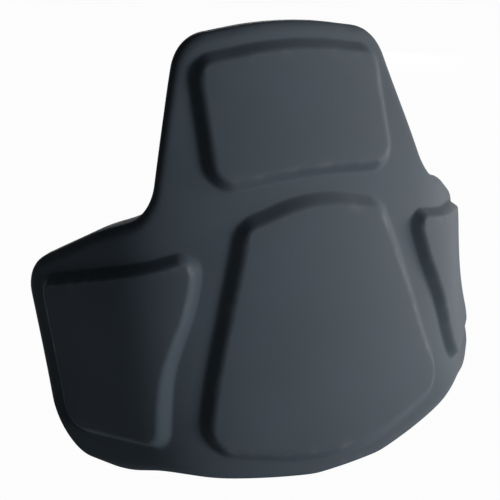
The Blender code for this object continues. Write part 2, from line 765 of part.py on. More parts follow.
COVER = new_material("cover", (0.075, 0.082, 0.090), 0.55)
FOAM = new_material("foam", (0.030, 0.030, 0.032), 0.9)
LINING = new_material("lining", (0.020, 0.020, 0.022), 0.85)
MESH = new_material("mesh", (0.035, 0.036, 0.040), 0.95)
WEBBING = new_material("webbing", (0.018, 0.018, 0.020), 0.8)
PLASTIC = new_material("plastic", (0.012, 0.012, 0.013), 0.45)
STEEL = new_material("rivet", (0.35, 0.35, 0.36), 0.35, 1.0)

# Shell: cover, dense core, soft backing, lining and the binding round the rear rim
outline = pad_outline()
core_front = -(SKIN + SEAM)
core_back = core_front - CORE
backing_front = core_back - SEAM
backing_back = backing_front - BACKING
liner_front = backing_back - SEAM
liner_back = liner_front - LINER
binding = grown(outline, -BINDING_INSET)
inner = grown(binding, -(BINDING_WIDTH + SEAM))
front_skin(outline, core_back, COVER)
core_outline = grown(outline, -(SKIN + SEAM))
core_round = RIM_ROUND - SKIN - SEAM
layer("foam_core", core_outline, core_back, core_front, FOAM, core_round, 0, RIM_SEGMENTS)
layer("foam_backing", inner, backing_back, backing_front, FOAM)
layer("back_liner", inner, liner_back, liner_front, LINING)
rim_band("edge_binding", binding, BINDING_WIDTH, liner_back, backing_front, LINING)

# Raised blocks
block_back = SEAM
blocks = {
    "chest_block": chest_outline(),
    "belly_block": belly_outline(),
    "right_side_block": side_outline(),
    "left_side_block": other_side(side_outline()),
}
for name, corners in blocks.items():
    layer(name, grown(corners, RAMP / 2), block_back, BLOCK_HEIGHT, COVER, BLOCK_ROUND)

# Comfort pads against the wearer
comfort_front = liner_back - SEAM
comfort_back = comfort_front - COMFORT_THICKNESS
side_rear = WING_GIRTH - SIDE_COMFORT_REAR_MARGIN
side_comfort = [
    (SIDE_BOTTOM_INNER[0] + SIDE_COMFORT_FRONT_INSET, SIDE_BOTTOM_INNER[1] + COMFORT_INSET, COMFORT_RADIUS),
    (side_rear, SIDE_BOTTOM_INNER[1] + COMFORT_INSET, COMFORT_RADIUS),
    (side_rear, SIDE_TOP_OUTER_HEIGHT, COMFORT_RADIUS),
    (SIDE_TOP_INNER[0] + COMFORT_INSET, SIDE_TOP_INNER[1] - COMFORT_INSET, COMFORT_RADIUS),
]
chest_comfort = rectangle(
    -CHEST_COMFORT_HALF, CHEST_COMFORT_HALF, CHEST_BOTTOM_HEIGHT, PAD_HEIGHT - CHEST_TOP_DROP, COMFORT_RADIUS)
comfort_pads = {
    "chest_comfort_pad": chest_comfort,
    "belly_comfort_pad": grown(belly_outline(), -COMFORT_INSET),
    "right_side_comfort_pad": side_comfort,
    "left_side_comfort_pad": other_side(side_comfort),
}
for name, corners in comfort_pads.items():
    layer(name, corners, comfort_back, comfort_front, MESH, 0, COMFORT_ROUND)

# Waist belt
belt_half("left_belt", -1, LEFT_TAIL_REACH, WEBBING)
belt_half("right_belt", 1, RIGHT_TAIL_REACH, WEBBING)
buckle(PLASTIC)
slider("belt_slider", belt_centre(-BELT_SLIDER_AT), *belt_directions(), BELT_WIDTH, PLASTIC)
keeper("belt_keeper", -KEEPER_AT, WEBBING)

# Shoulder straps
for name, side in (("left", -1), ("right", 1)):
    x = shoulder_strap(f"{name}_shoulder_strap", side, WEBBING)
    centre, foot, rise, away = strap_run(side)
    spot = foot + rise * STRAP_SLIDER_AT
    spot.x = x
    slider(f"{name}_strap_slider", spot, rise, away, rise.cross(away), STRAP_WIDTH, PLASTIC)

# Patches over the sewn ends
for name, side in (("left", -1), ("right", 1)):
    sewn_low = BELT_SEWN_GIRTH - BELT_SEWN_LENGTH / 2 + PATCH_BACKSET
    sewn_high = BELT_SEWN_GIRTH + BELT_SEWN_LENGTH / 2 + PATCH_BORDER
    half = BELT_WIDTH / 2 + PATCH_BORDER
    belt_patch = (sewn_low, sewn_high, BELT_HEIGHT - half, BELT_HEIGHT + half)
    patch_with_rivets(f"{name}_belt_patch", side, *belt_patch, COVER, STEEL)
    half = STRAP_WIDTH / 2 + PATCH_BORDER
    top = PAD_HEIGHT - STRAP_TOP_DROP
    low = top - STRAP_SEWN_LENGTH + PATCH_BACKSET
    strap_patch = (STRAP_SPACING - half, STRAP_SPACING + half, low, top + PATCH_BORDER)
    patch_with_rivets(f"{name}_strap_patch", side, *strap_patch, COVER, STEEL)

stand_on_origin()
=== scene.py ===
"""The boxing belly pad's looks: moulded cover, lining, comfort pads, webbing and hardware.

The soft pieces are drawn in the flat pattern and wrapped round the body, as the pad itself is made:
s is the girth from the centre line, z the height, t the depth, 0 on the cover's front, negative
towards the wearer. The front faces -Y, left is -X, and all lengths are in metres.
"""

import math

import bmesh
import bpy
import numpy as np
from mathutils import Matrix, Vector
from mathutils.geometry import delaunay_2d_cdt


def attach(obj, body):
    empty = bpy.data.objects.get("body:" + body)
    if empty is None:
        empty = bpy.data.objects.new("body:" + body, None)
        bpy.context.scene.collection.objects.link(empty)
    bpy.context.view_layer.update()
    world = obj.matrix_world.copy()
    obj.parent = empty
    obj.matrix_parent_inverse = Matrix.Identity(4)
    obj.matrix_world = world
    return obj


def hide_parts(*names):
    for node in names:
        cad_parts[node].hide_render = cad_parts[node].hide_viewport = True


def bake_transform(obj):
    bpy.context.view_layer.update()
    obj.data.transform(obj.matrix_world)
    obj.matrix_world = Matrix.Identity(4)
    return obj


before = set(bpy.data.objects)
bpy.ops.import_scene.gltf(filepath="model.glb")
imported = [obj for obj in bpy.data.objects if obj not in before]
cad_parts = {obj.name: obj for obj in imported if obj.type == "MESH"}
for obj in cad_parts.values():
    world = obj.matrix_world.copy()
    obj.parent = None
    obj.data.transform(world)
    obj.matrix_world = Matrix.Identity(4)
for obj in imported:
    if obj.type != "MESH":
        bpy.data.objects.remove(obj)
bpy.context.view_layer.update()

# Outline of the flat pattern: girths, heights and corner radii
PAD_HEIGHT = 0.450
BIB_HALF_WIDTH = 0.116
BIB_CROWN = 0.012
BIB_CORNER_RADIUS = 0.050
ARMPIT = (0.175, 0.276)
ARMPIT_RADIUS = 0.060
WING_BEND = (0.069, 0.0224)
WING_BEND_RADIUS = 0.300
WING_TOP_HEIGHT = 0.200
WING_GIRTH = 0.357
WING_FLARE = 0.002
WING_TOP_RADIUS = 0.050
WING_BOTTOM_RADIUS = 0.055
HEM_FLAT_HALF = 0.042
HEM_ARCH = (0.196, 0.0145)
HEM_WING_START = 0.264
HEM_RADIUS = 0.200

# Shape that the pattern is wrapped to
FRONT_RADIUS = 0.600
FLANK_RADIUS = 0.104
FLANK_START = 0.152
FLANK_END = 0.207
BEND_EASE = 0.038
SETBACKS = (-0.1002, -0.0324, -0.0005, 0.0446, 0.0873)
SHIFT_BACK = 0.03373

# Layers, front to back
SKIN = 0.0015
CORE = 0.0182
BACKING = 0.0134
LINER = 0.0017
SEAM = 0.0003
RIM_ROUND = 0.011
CORE_FRONT = -(SKIN + SEAM)
CORE_BACK = CORE_FRONT - CORE
BACKING_FRONT = CORE_BACK - SEAM
BACKING_BACK = BACKING_FRONT - BACKING
LINER_FRONT = BACKING_BACK - SEAM
LINER_BACK = LINER_FRONT - LINER
RIM_WALL_DEPTHS = (-0.0125, -0.0150, -0.0175, CORE_BACK)

# Tape round the rear rim
BINDING_INSET = 0.001
BINDING_WIDTH = 0.0045
TAPE_SIDES = 18
TAPE_SQUARENESS = (0.45, 0.30)
TAPE_CLOTH_SHARE = 0.6
TAPE_STITCH_SHARE = 0.62

# Raised blocks; a ramp is its foot's distance outside the outline, and its width
BLOCK_HEIGHT = 0.012
BLOCK_RAMP = (0.0068, 0.0130)
SIDE_BLOCK_RAMP = (0.0046, 0.0108)
RAMP_SHARES = (-0.21, -0.10, 0.0, 0.10, 0.21, 0.35, 0.50, 0.65, 0.76, 0.88, 1.0, 1.12, 1.24, 1.36)
UPPER_WALL_RISE = (0.3, 0.9)
TOP_NARROWING = 0.40
FOOT_BLEND = 0.20
CREST_BLEND = 0.30
BLOCK_CROWN = 0.0012
CROWN_REACH = 0.022
CHEST_BOTTOM = 0.3007
CHEST_TOP = PAD_HEIGHT - 0.0315
CHEST_BOTTOM_HALF = 0.1063
CHEST_TOP_HALF = 0.104
CHEST_ARCH = 0.008
CHEST_CROWN = 0.011
CHEST_RADIUS = 0.022
BELLY_TOP = (0.082, 0.2657)
BELLY_BOTTOM = (0.155, 0.0405)
BELLY_WAIST_BOW = 0.0025
BELLY_CROWN = 0.016
BELLY_DROP = 0.021
BELLY_RADIUS = 0.026
SIDE_TOP_INNER = (0.1275, 0.2466)
SIDE_TOP_INNER_RADIUS = 0.015
SIDE_INNER_BENDS = ((0.1414, 0.193), (0.1772, 0.119))
SIDE_INNER_BEND_RADIUS = 0.240
SIDE_BOTTOM_INNER = (0.1963, 0.0405)
SIDE_REAR = WING_GIRTH - 0.031
SIDE_TOP_OUTER = 0.194
SIDE_BOTTOM_OUTER = 0.029
SIDE_RADIUS = 0.024

# Where the cover's leather is rubbed: distance of a crest from its edge, width and strength
RIM_CREST = (0.004, 0.004, 0.6)
BLOCK_CREST = (-0.005, 0.005, 1.0)

# Comfort pads on the wearer's side
COMFORT_FRONT = LINER_BACK - SEAM
COMFORT_THICKNESS = 0.008
COMFORT_ROUND = 0.006
COMFORT_RADIUS = 0.016
COMFORT_INSET = 0.020
COMFORT_FILL = 0.5
CHEST_COMFORT_HALF = 0.060
SIDE_COMFORT_FRONT_INSET = 0.010
SIDE_COMFORT_REAR_MARGIN = 0.092
SWELL_ROOM = 0.0012
MOST_SWELL = 0.0024
SWELL_PAST = 0.0006
LEAST_CLOTH = 0.0015
LEAST_SWOLLEN = 0.0012
CHANNEL_DEPTH = 0.0042
CHANNEL_WIDTH = 0.0042
SEWN_EDGE = 0.0012
SEWN_CHANNEL = 0.0016
CHANNEL_POINTS = 40
SWELL_FRAMES = 18
CLOTH_SETTINGS = {
    "quality": 6, "mass": 0.15, "tension_stiffness": 30, "compression_stiffness": 8, "shear_stiffness": 8,
    "bending_stiffness": 0.05, "shrink_min": -0.035, "use_pressure": True, "uniform_pressure_force": 5.0,
}
PIPING_SIDES = 10
PIPING_HALF = (0.0014, 0.0020)
PIPING_OUT = 0.0002
PIPING_BACK = 0.0022
PIPING_CLOTH = 0.0017

# Webbing, waist belt and shoulder straps
WEB = 0.0018
WEB_CROWN = 0.10
LAY_GAP = 0.0006
SEWN_CLEARANCE = 0.0009
BELT_WIDTH = 0.038
BELT_HEIGHT = 0.112
BELT_SEWN_GIRTH = 0.314
BELT_SEWN_LENGTH = 0.030
BELT_BEND_RADIUS = 0.012
BELT_LOOP_CLOSE = 0.0175
TAIL_REACH = {-1: 0.195, 1: 0.128}
PATCH = 0.0022
PATCH_BORDER = 0.008
PATCH_RADIUS = 0.008
PATCH_BACKSET = 0.0075
PATCH_ROUND = 0.0012
PATCH_SETTLING = (0.0008, 0.0065)
PATCH_CLEARANCE = 0.0004
PATCH_STITCH_INSET = 0.0030
PATCH_GROOVE = (0.0003, 0.0008)
PATCH_OPEN_END = 0.050
STRAP_WIDTH = 0.025
STRAP_SPACING = 0.090
STRAP_TOP = PAD_HEIGHT - 0.034
STRAP_SEWN_LENGTH = 0.030
STRAP_BEND_REACH = 0.006
STRAP_TWIST_LENGTH = 0.050
STRAP_TAIL = 0.150
LAY_OFFSET = (WEB + LAY_GAP) / 2
LAYS = 2 * WEB + LAY_GAP
WEB_DEPTH = LINER_BACK - SEAM - SEWN_CLEARANCE - WEB / 2
PATCH_FRONT = WEB_DEPTH - WEB / 2 - SEWN_CLEARANCE

# Hems at the webbing's ends, and the sewn box on the right belt half
HEM_LENGTH = 0.006
HEM_ROW_GAP = 0.002
HEM_STITCHES = {"pitch": 0.0034, "length": 0.0025}
BELT_HEM_SHARE = 0.42
STRAP_HEM_SHARE = 0.40
BOX_BESIDE = 0.022
BOX_LENGTH = 0.028
BOX_MARGIN = 0.009

# Stitches: along, up and size of each ring of a thread's bow, as shares of its length and radius
STITCH_RINGS = (
    (-0.5, -0.6, 0.35), (-0.36, 0.35, 0.9), (0.0, 0.6, 1.0), (0.36, 0.35, 0.9), (0.5, -0.6, 0.35),
)
STITCH_SIDES = 6

# Hardware
MOUTH_AT = 0.013
PLUG_LENGTH = 0.022
BAR_RADIUS = 0.0025
RUNNING = 0.0005
KEEPER_AT = STRAP_SPACING + 0.092
KEEPER_LENGTH = 0.014
KEEPER_WALL = 0.0012
KEEPER_BEND_RADIUS = 0.0014
KEEPER_STITCH_HALF = 0.0055
KEEPER_STITCHES_UP = 0.009
RIVET_RADIUS = 0.0045
RIVET_FOOT = 0.0006
RIVET_EDGE = 0.00015
RIVET_SPACING = 0.026
SOCKET_HALF_DEPTH = 0.00675
RIB_SECTION = (0.0012, 0.0014)
RIB_LENGTH = 0.026
RIB_EDGE = 0.0005
RIB_SPOTS = (-0.0048, -0.0072, -0.0096)

# Steps of a rivet's dome, how far in and how far up
RIVET_DOME = ((0.0004, 0.0), (0.0002, 0.0006), (0.0006, 0.0005), (0.0010, 0.00035), (0.0012, 0.00015))

# Moulded solids, the bodies they ride on and the width of their rounded edges
MOULDINGS = (
    ("buckle_socket", "shield", 0.0009),
    ("buckle_plug", "plug", 0.0007),
    ("buckle_prong_upper", "prong_upper", 0.0005),
    ("buckle_prong_lower", "prong_lower", 0.0005),
    ("belt_slider", "belt_adjuster", 0.0007),
    ("left_strap_slider", "left_strap_adjuster", 0.0007),
    ("right_strap_slider", "right_strap_adjuster", 0.0007),
)

# An edge with a crown is one arc from the middle of each half, three quarters as high as its corner
CROWN_SHARE = 0.75
WIDE_ARC = 10.0

# How finely the shapes are drawn
SECTION_STEPS = 6000
SECTION_REACH = 0.440
ARC_STEP = math.radians(8)
EDGE_STEP = 0.0030
BLOCK_STEP = 0.0026
LIFT_STEP = 0.0020
COVER_CELL = 0.0042
FOAM_CELL = 0.0080
LINING_CELL = 0.0050
COMFORT_CELL = 0.0035
PATCH_CELL = 0.0022
GRID_SPARE = 0.6
LEAST_RADIUS = 0.002
MERGE = 1e-7
NORMAL_STEP = 1e-4
AT_ONCE = 2000

# Camera, fitted to the photo's outline, in the photo's frame of 500 pixels
FRAME_PIXELS = 500.0
FOCAL_PIXELS = 521.1
SENSOR_WIDTH = 36.0
CAMERA_TARGET = (-0.0469, 0.0512, 0.1971)
CAMERA_DISTANCE = 0.6315
CAMERA_TURN = math.radians(-20.93)
CAMERA_TILT = math.radians(27.54)
CAMERA_ROLL = math.radians(-0.99)

# Lamps: direction, size, power and colour
WHITE = (1.0, 1.0, 1.0)
LAMP_TARGET = (0.0, 0.0, 0.2)
LAMP_DISTANCE = 3.5
LAMPS = {
    "key": ((0.660, -0.745, 0.100), 1.6, 108.0, WHITE),
    "side": ((0.965, -0.245, 0.087), 1.2, 88.0, (1.0, 0.86, 0.74)),
    "rear": ((0.50, 0.86, 0.12), 1.6, 150.0, WHITE),
}
FLOOR_SIZE = 60.0
FLOOR_GLOW = 0.975
WORLD_LIGHT = 0.042
WORLD_SEEN = 0.96


# Reading and shaping rows of numbers

def ease(start, end, value):
    """Zero before the start, one past the end and a smooth rise between them."""
    share = np.clip((value - start) / (end - start), 0.0, 1.0)
    return share * share * (3.0 - 2.0 * share)


def bell(value, middle, width):
    return np.exp(-((value - middle) / width) ** 2)


def squarer(value, power):
    """Values from -1 to 1 pushed towards their ends, which makes a round section squarer."""
    return np.sign(value) * abs(value) ** power


def unit(vectors):
    return vectors / np.linalg.norm(vectors, axis=1)[:, None]


def running_length(path):
    """The length along a path at each of its points."""
    return np.concatenate([[0.0], np.cumsum(np.linalg.norm(np.diff(path, axis=0), axis=1))])


def read_along(places, lengths, values):
    """Rows of values, read at places along a path that has them at these lengths."""
    return np.column_stack([np.interp(places, lengths, column) for column in values.T])


def at_depth(points, depth):
    """Points (s, z) of the flat pattern with their depth as third column."""
    return np.column_stack([points, np.full(len(points), depth)])


# Wrapping the flat pattern

def section_table():
    """Half of the horizontal section: girth, and x, y and heading along it."""
    girth = np.linspace(0.0, SECTION_REACH, SECTION_STEPS)
    bend = 1 / FRONT_RADIUS
    bend = bend + (1 / FLANK_RADIUS - bend) * ease(FLANK_START - BEND_EASE, FLANK_START + BEND_EASE, girth)
    bend = bend * (1 - ease(FLANK_END - BEND_EASE, FLANK_END + BEND_EASE, girth))

    def running_sum(values):
        return np.concatenate([[0.0], np.cumsum((values[1:] + values[:-1]) / 2 * girth[1])])

    heading = running_sum(bend)
    return girth, running_sum(np.cos(heading)), running_sum(np.sin(heading)), heading


SECTION = section_table()
PROFILE = np.polyfit(np.linspace(0.0, PAD_HEIGHT, len(SETBACKS)), SETBACKS, len(SETBACKS) - 1)


def to_space(flat):
    """Places in space of points (s, z, t) of the flat pattern."""
    s, z, t = np.asarray(flat, float).T
    side = np.where(s < 0, -1.0, 1.0)
    across, back, heading = (np.interp(np.abs(s), SECTION[0], values) for values in SECTION[1:])
    x = side * (across + t * np.sin(heading))
    y = back + np.polyval(PROFILE, z) - t * np.cos(heading) - SHIFT_BACK
    return np.column_stack([x, y, z])


def place(s, z, t):
    return Vector(to_space([(s, z, t)])[0])


def surface_normals(flat):
    """Unit normals of the wrapped pattern at points (s, z, t), towards the front."""
    flat = np.asarray(flat, float)
    along_s = to_space(flat + (NORMAL_STEP, 0, 0)) - to_space(flat - (NORMAL_STEP, 0, 0))
    along_z = to_space(flat + (0, NORMAL_STEP, 0)) - to_space(flat - (0, NORMAL_STEP, 0))
    return unit(np.cross(along_s, along_z))


# Outlines, listed as corners (s, z, radius)

def mirrored(right_half):
    """A whole outline, anticlockwise, from its right half listed from bottom to top."""
    return right_half + [(-s, z, radius) for s, z, radius in reversed(right_half) if s > 0]


def other_side(corners):
    return [(-s, z, radius) for s, z, radius in reversed(corners)]


def pad_corners():
    bend_out, bend_drop = WING_BEND
    return mirrored([
        (HEM_FLAT_HALF, 0.0, HEM_RADIUS),
        (*HEM_ARCH, HEM_RADIUS),
        (HEM_WING_START, 0.0, HEM_RADIUS),
        (WING_GIRTH + WING_FLARE, 0.0, WING_BOTTOM_RADIUS),
        (WING_GIRTH, WING_TOP_HEIGHT, WING_TOP_RADIUS),
        (ARMPIT[0] + bend_out, ARMPIT[1] - bend_drop, WING_BEND_RADIUS),
        (*ARMPIT, ARMPIT_RADIUS),
        (BIB_HALF_WIDTH, PAD_HEIGHT - BIB_CROWN, BIB_CORNER_RADIUS),
        (0.0, PAD_HEIGHT - BIB_CROWN + BIB_CROWN / CROWN_SHARE, WIDE_ARC),
    ])


def chest_corners():
    return mirrored([
        (0.0, CHEST_BOTTOM + CHEST_ARCH / CROWN_SHARE, WIDE_ARC),
        (CHEST_BOTTOM_HALF, CHEST_BOTTOM, CHEST_RADIUS),
        (CHEST_TOP_HALF, CHEST_TOP, CHEST_RADIUS),
        (0.0, CHEST_TOP + CHEST_CROWN / CROWN_SHARE, WIDE_ARC),
    ])


def belly_corners():
    waist = ((BELLY_TOP[0] + BELLY_BOTTOM[0]) / 2 + BELLY_WAIST_BOW, (BELLY_TOP[1] + BELLY_BOTTOM[1]) / 2)
    return mirrored([
        (0.0, BELLY_BOTTOM[1] - BELLY_DROP / CROWN_SHARE, WIDE_ARC),
        (*BELLY_BOTTOM, BELLY_RADIUS),
        (*waist, WIDE_ARC),
        (*BELLY_TOP, BELLY_RADIUS),
        (0.0, BELLY_TOP[1] + BELLY_CROWN / CROWN_SHARE, WIDE_ARC),
    ])


def side_corners():
    """The right side block, whose inner edge is a slight S."""
    return [
        (*SIDE_BOTTOM_INNER, SIDE_RADIUS),
        (SIDE_REAR + WING_FLARE, SIDE_BOTTOM_OUTER, SIDE_RADIUS),
        (SIDE_REAR, SIDE_TOP_OUTER, SIDE_RADIUS),
        (*SIDE_TOP_INNER, SIDE_TOP_INNER_RADIUS),
        *((s, z, SIDE_INNER_BEND_RADIUS) for s, z in SIDE_INNER_BENDS),
    ]


def rectangle(low, high, radius):
    return [(*low, radius), (high[0], low[1], radius), (*high, radius), (low[0], high[1], radius)]


def shrunk(corners, distance):
    """An outline moved inwards."""
    moved_corners = []
    count = len(corners)
    for index, (s, z, radius) in enumerate(corners):
        here = Vector((s, z))
        into = (here - Vector(corners[index - 1][:2])).normalized()
        out_of = (Vector(corners[(index + 1) % count][:2]) - here).normalized()
        normals = [Vector((way.y, -way.x)) for way in (into, out_of)]
        shift = (normals[0] + normals[1]) * (-distance / (1 + normals[0].dot(normals[1])))
        bulges = into.cross(out_of) > 0
        new_radius = max(radius + (-distance if bulges else distance), LEAST_RADIUS)
        moved_corners.append((s + shift.x, z + shift.y, new_radius))
    return moved_corners


def outline(corners, spacing):
    """Points and outward normals at an even spacing along an outline whose corners are arcs."""
    points, normals = [], []

    def go_straight_to(end):
        start = points[-1]
        run = end - start
        length = np.linalg.norm(run)
        steps = max(1, round(length / spacing))
        for step in range(1, steps):
            points.append(start + run * step / steps)
            normals.append(np.array((run[1], -run[0])) / length)

    for index, (s, z, radius) in enumerate(corners):
        here = np.array((s, z))
        before = np.array(corners[index - 1][:2]) - here
        after = np.array(corners[(index + 1) % len(corners)][:2]) - here
        lengths = np.linalg.norm(before), np.linalg.norm(after)
        before, after = before / lengths[0], after / lengths[1]
        half = math.acos(np.clip(before @ after, -1, 1)) / 2
        reach = min(radius / math.tan(half), lengths[0] / 2, lengths[1] / 2)
        arc_radius = reach * math.tan(half)
        centre = here + (before + after) / np.linalg.norm(before + after) * (arc_radius / math.sin(half))
        first = here + before * reach - centre
        last = here + after * reach - centre
        beside = np.array((-first[1], first[0]))
        turn = math.atan2(first[0] * last[1] - first[1] * last[0], first @ last)
        outwards = 1 if before[0] * after[1] - before[1] * after[0] < 0 else -1
        steps = max(2, math.ceil(abs(turn) * arc_radius / spacing), math.ceil(abs(turn) / ARC_STEP))
        if points:
            go_straight_to(centre + first)
        for step in range(steps + 1):
            angle = turn * step / steps
            spoke = first * math.cos(angle) + beside * math.sin(angle)
            if points and np.linalg.norm(centre + spoke - points[-1]) < spacing / 10:
                continue
            points.append(centre + spoke)
            normals.append(spoke / arc_radius * outwards)
    go_straight_to(points[0])
    return np.array(points), np.array(normals)


def moved(line, distance):
    """The points of an outline moved outwards by a distance, inwards if it is negative."""
    return line[0] + line[1] * distance


def in_parts(points, work):
    """Works on points a part at a time, because all of them at once would fill the memory."""
    parts = [points[first:first + AT_ONCE, None, :] for first in range(0, len(points), AT_ONCE)]
    return np.concatenate([work(part) for part in parts])


def signed_distance(points, loop):
    """Distance of points to a closed outline, negative inside it."""
    start, run = loop, np.roll(loop, -1, axis=0) - loop
    end = start + run

    def measured(part):
        away = part - start
        share = np.clip((away * run).sum(2) / (run ** 2).sum(1), 0, 1)
        distance = np.sqrt(((away - run * share[..., None]) ** 2).sum(2)).min(1)
        crosses = (start[:, 1] > part[..., 1]) != (end[:, 1] > part[..., 1])
        with np.errstate(divide="ignore", invalid="ignore"):
            meets = start[:, 0] + (part[..., 1] - start[:, 1]) / run[:, 1] * run[:, 0]
        inside = (crosses & (part[..., 0] < meets)).sum(1) % 2 == 1
        return np.where(inside, -distance, distance)

    return in_parts(points, measured)


# Meshes of the flat pattern

def flat_sheet(loops, cell, bands=()):
    """Triangles that fill the first loop, with the other loops as edges and a triangular grid between.

    A band is an outline and the distances to it between which the loops alone carry the shape.
    """
    low, high = loops[0].min(0), loops[0].max(0)
    rows = np.arange(low[1], high[1], cell * math.sqrt(0.75))
    grid = np.array([(s + (row % 2) * cell / 2, z)
                     for row, z in enumerate(rows) for s in np.arange(low[0], high[0], cell)])
    spare = cell * GRID_SPARE
    grid = grid[signed_distance(grid, loops[0]) < -spare]
    for line, nearest, farthest in bands:
        distance = signed_distance(grid, line)
        grid = grid[(distance < nearest - spare) | (distance > farthest + spare)]
    points = np.concatenate(loops + [grid])
    edges = []
    first = 0
    for loop in loops:
        count = len(loop)
        edges += [(first + step, first + (step + 1) % count) for step in range(count)]
        first += count
    made = delaunay_2d_cdt([Vector(point) for point in points], edges, [], 1, MERGE)
    return np.array([tuple(point) for point in made[0]]), [tuple(face) for face in made[2]]


def open_edges(faces):
    """The directed edges that only one face has."""
    directed = {(face[index - 1], face[index]) for face in faces for index in range(len(face))}
    return sorted(edge for edge in directed if (edge[1], edge[0]) not in directed)


def roll(inset, radius):
    """How far the surface has rolled back at a distance inside its edge."""
    near = np.clip(radius - inset, 0.0, radius)
    return radius - np.sqrt(radius * radius - near * near)


def roll_loops(line, radius, steps):
    """Loops along which a rounded edge is drawn, from the edge inwards."""
    angles = [math.pi / 2 * (1 - step / steps) for step in range(steps + 1)]
    return [moved(line, -radius * (1 - math.sin(angle))) for angle in angles]


def rolled_sheet(corners, cell, radius, steps=3):
    """A sheet that fills an outline, drawn finely where its edge rolls back, and its points' insets."""
    edge = outline(corners, cell)
    loops = roll_loops(edge, radius, steps) if radius else [edge[0]]
    bands = [(edge[0], -radius, 0.0)] if radius else []
    points, faces = flat_sheet(loops, cell, bands)
    return points, faces, -signed_distance(points, edge[0])


def doubled(faces, count):
    """Faces of a sheet with this many points, of a second one behind it and of the wall between."""
    rear = [tuple(count + vertex for vertex in reversed(face)) for face in faces]
    wall = [(b, a, count + a, count + b) for a, b in open_edges(faces)]
    return faces + rear + wall


def closed_slab(points, faces, front, back):
    """Front and back sheets with the same triangles and a wall between them."""
    return np.concatenate([at_depth(points, front), at_depth(points, back)]), doubled(faces, len(points))


def tube_faces(rings, sides, closed=False):
    """Faces of a tube of rings, listed ring by ring, with two end faces unless it closes on itself."""
    faces = []
    for ring in range(rings if closed else rings - 1):
        onward = (ring + 1) % rings
        for side in range(sides):
            after = (side + 1) % sides
            faces.append((ring * sides + side, ring * sides + after,
                          onward * sides + after, onward * sides + side))
    if not closed:
        faces.append(tuple(reversed(range(sides))))
        faces.append(tuple((rings - 1) * sides + side for side in range(sides)))
    return faces


# Objects

def linked(name, data):
    made = bpy.data.objects.new(name, data)
    bpy.context.scene.collection.objects.link(made)
    return made


def coat(mesh, material, sharp_angle):
    """Gives a mesh its material, and smooth shading up to an angle in degrees."""
    mesh.materials.append(material)
    mesh.shade_smooth()
    mesh.set_sharp_from_angle(angle=math.radians(sharp_angle))


def add_mesh(name, vertices, faces, material, pattern=None, sharp_angle=50):
    """A mesh, with its points' places in the cloth's pattern where it is cloth."""
    mesh = bpy.data.meshes.new(name)
    mesh.from_pydata(np.asarray(vertices).tolist(), [], faces)
    mesh.update()
    if pattern is not None:
        layer = mesh.uv_layers.new(name="pattern")
        corner = np.empty(len(mesh.loops), np.int32)
        mesh.loops.foreach_get("vertex_index", corner)
        layer.data.foreach_set("uv", np.asarray(pattern, np.float32)[corner].ravel())
    coat(mesh, material, sharp_angle)
    return linked(name, mesh)


def mark_crests(made, values):
    """Stores how near each vertex is to a rubbed crest, which the leatherette reads."""
    layer = made.data.attributes.new("crest", "FLOAT", "POINT")
    layer.data.foreach_set("value", np.asarray(values, np.float32))


def round_edges(made, width, segments, sharp_angle):
    """Rounds the active object's edges sharper than an angle in degrees."""
    bevel = made.modifiers.new("edges", "BEVEL")
    bevel.width = width
    bevel.segments = segments
    bevel.limit_method = "ANGLE"
    bevel.angle_limit = math.radians(sharp_angle)
    bpy.ops.object.modifier_apply(modifier=bevel.name)


def finish_piece(made, body, slot, *nodes, fill=None):
    """Lets a piece ride on its body, if it has one, and stand for its CAD nodes, which it hides; the slot
    is not used.
    """
    if body:
        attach(made, body)
    if nodes:
        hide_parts(*nodes)
    return made


# Materials

def new_material(name, colour, roughness, metallic=0.0):
    made = bpy.data.materials.new(name)
    made.use_nodes = True
    shader = made.node_tree.nodes["Principled BSDF"]
    shader.inputs["Base Color"].default_value = (*colour, 1.0)
    shader.inputs["Roughness"].default_value = roughness
    shader.inputs["Metallic"].default_value = metallic
    return made, made.node_tree, shader.inputs


def feed(socket, value):
    """Links a socket to the output that is to feed it, or sets its value."""
    if isinstance(value, bpy.types.NodeSocket):
        socket.id_data.links.new(value, socket)
    else:
        socket.default_value = value


def node(tree, kind, settings=(), **inputs):
    made = tree.nodes.new(kind)
    for name, value in dict(settings).items():
        setattr(made, name, value)
    for name, value in inputs.items():
        feed(made.inputs[name.replace("_", " ")], value)
    return made


def math_node(operation, *values):
    """The result of a sum with sockets and numbers, the first of them a socket."""
    made = node(values[0].id_data, "ShaderNodeMath", {"operation": operation})
    for socket, value in zip(made.inputs, values):
        feed(socket, value)
    return made.outputs[0]


def times(first, second):
    return math_node("MULTIPLY", first, second)


def mix_colours(share, first, second):
    """A mix by a share, which is a socket, of two colours, each a socket or a tuple."""
    made = node(share.id_data, "ShaderNodeMix", {"data_type": "RGBA"})
    for index, value in ((0, share), (6, first), (7, second)):
        feed(made.inputs[index], (*value, 1.0) if isinstance(value, tuple) else value)
    return made.outputs[2]


def stretched(value, low, high):
    """A value eased from low..high to 0..1."""
    made = node(value.id_data, "ShaderNodeMapRange", {"interpolation_type": "SMOOTHSTEP"},
                Value=value, From_Min=low, From_Max=high)
    return made.outputs[0]


def bump(height, distance, strength):
    made = node(height.id_data, "ShaderNodeBump", Height=height, Distance=distance, Strength=strength)
    return made.outputs[0]


def on_piece(tree):
    return node(tree, "ShaderNodeTexCoord").outputs["Object"]


def on_cloth(tree):
    return node(tree, "ShaderNodeUVMap", {"uv_map": "pattern"}).outputs[0]


def noise(where, scale, detail):
    made = node(where.id_data, "ShaderNodeTexNoise", Vector=where, Scale=scale, Detail=detail)
    return made.outputs["Fac"]


def cells(where, scale, feature="F1", randomness=1.0):
    made = node(where.id_data, "ShaderNodeTexVoronoi", {"feature": feature},
                Vector=where, Scale=scale, Randomness=randomness)
    return made.outputs["Distance"]


def shade_of(colour, factor):
    return tuple(value * factor for value in colour)


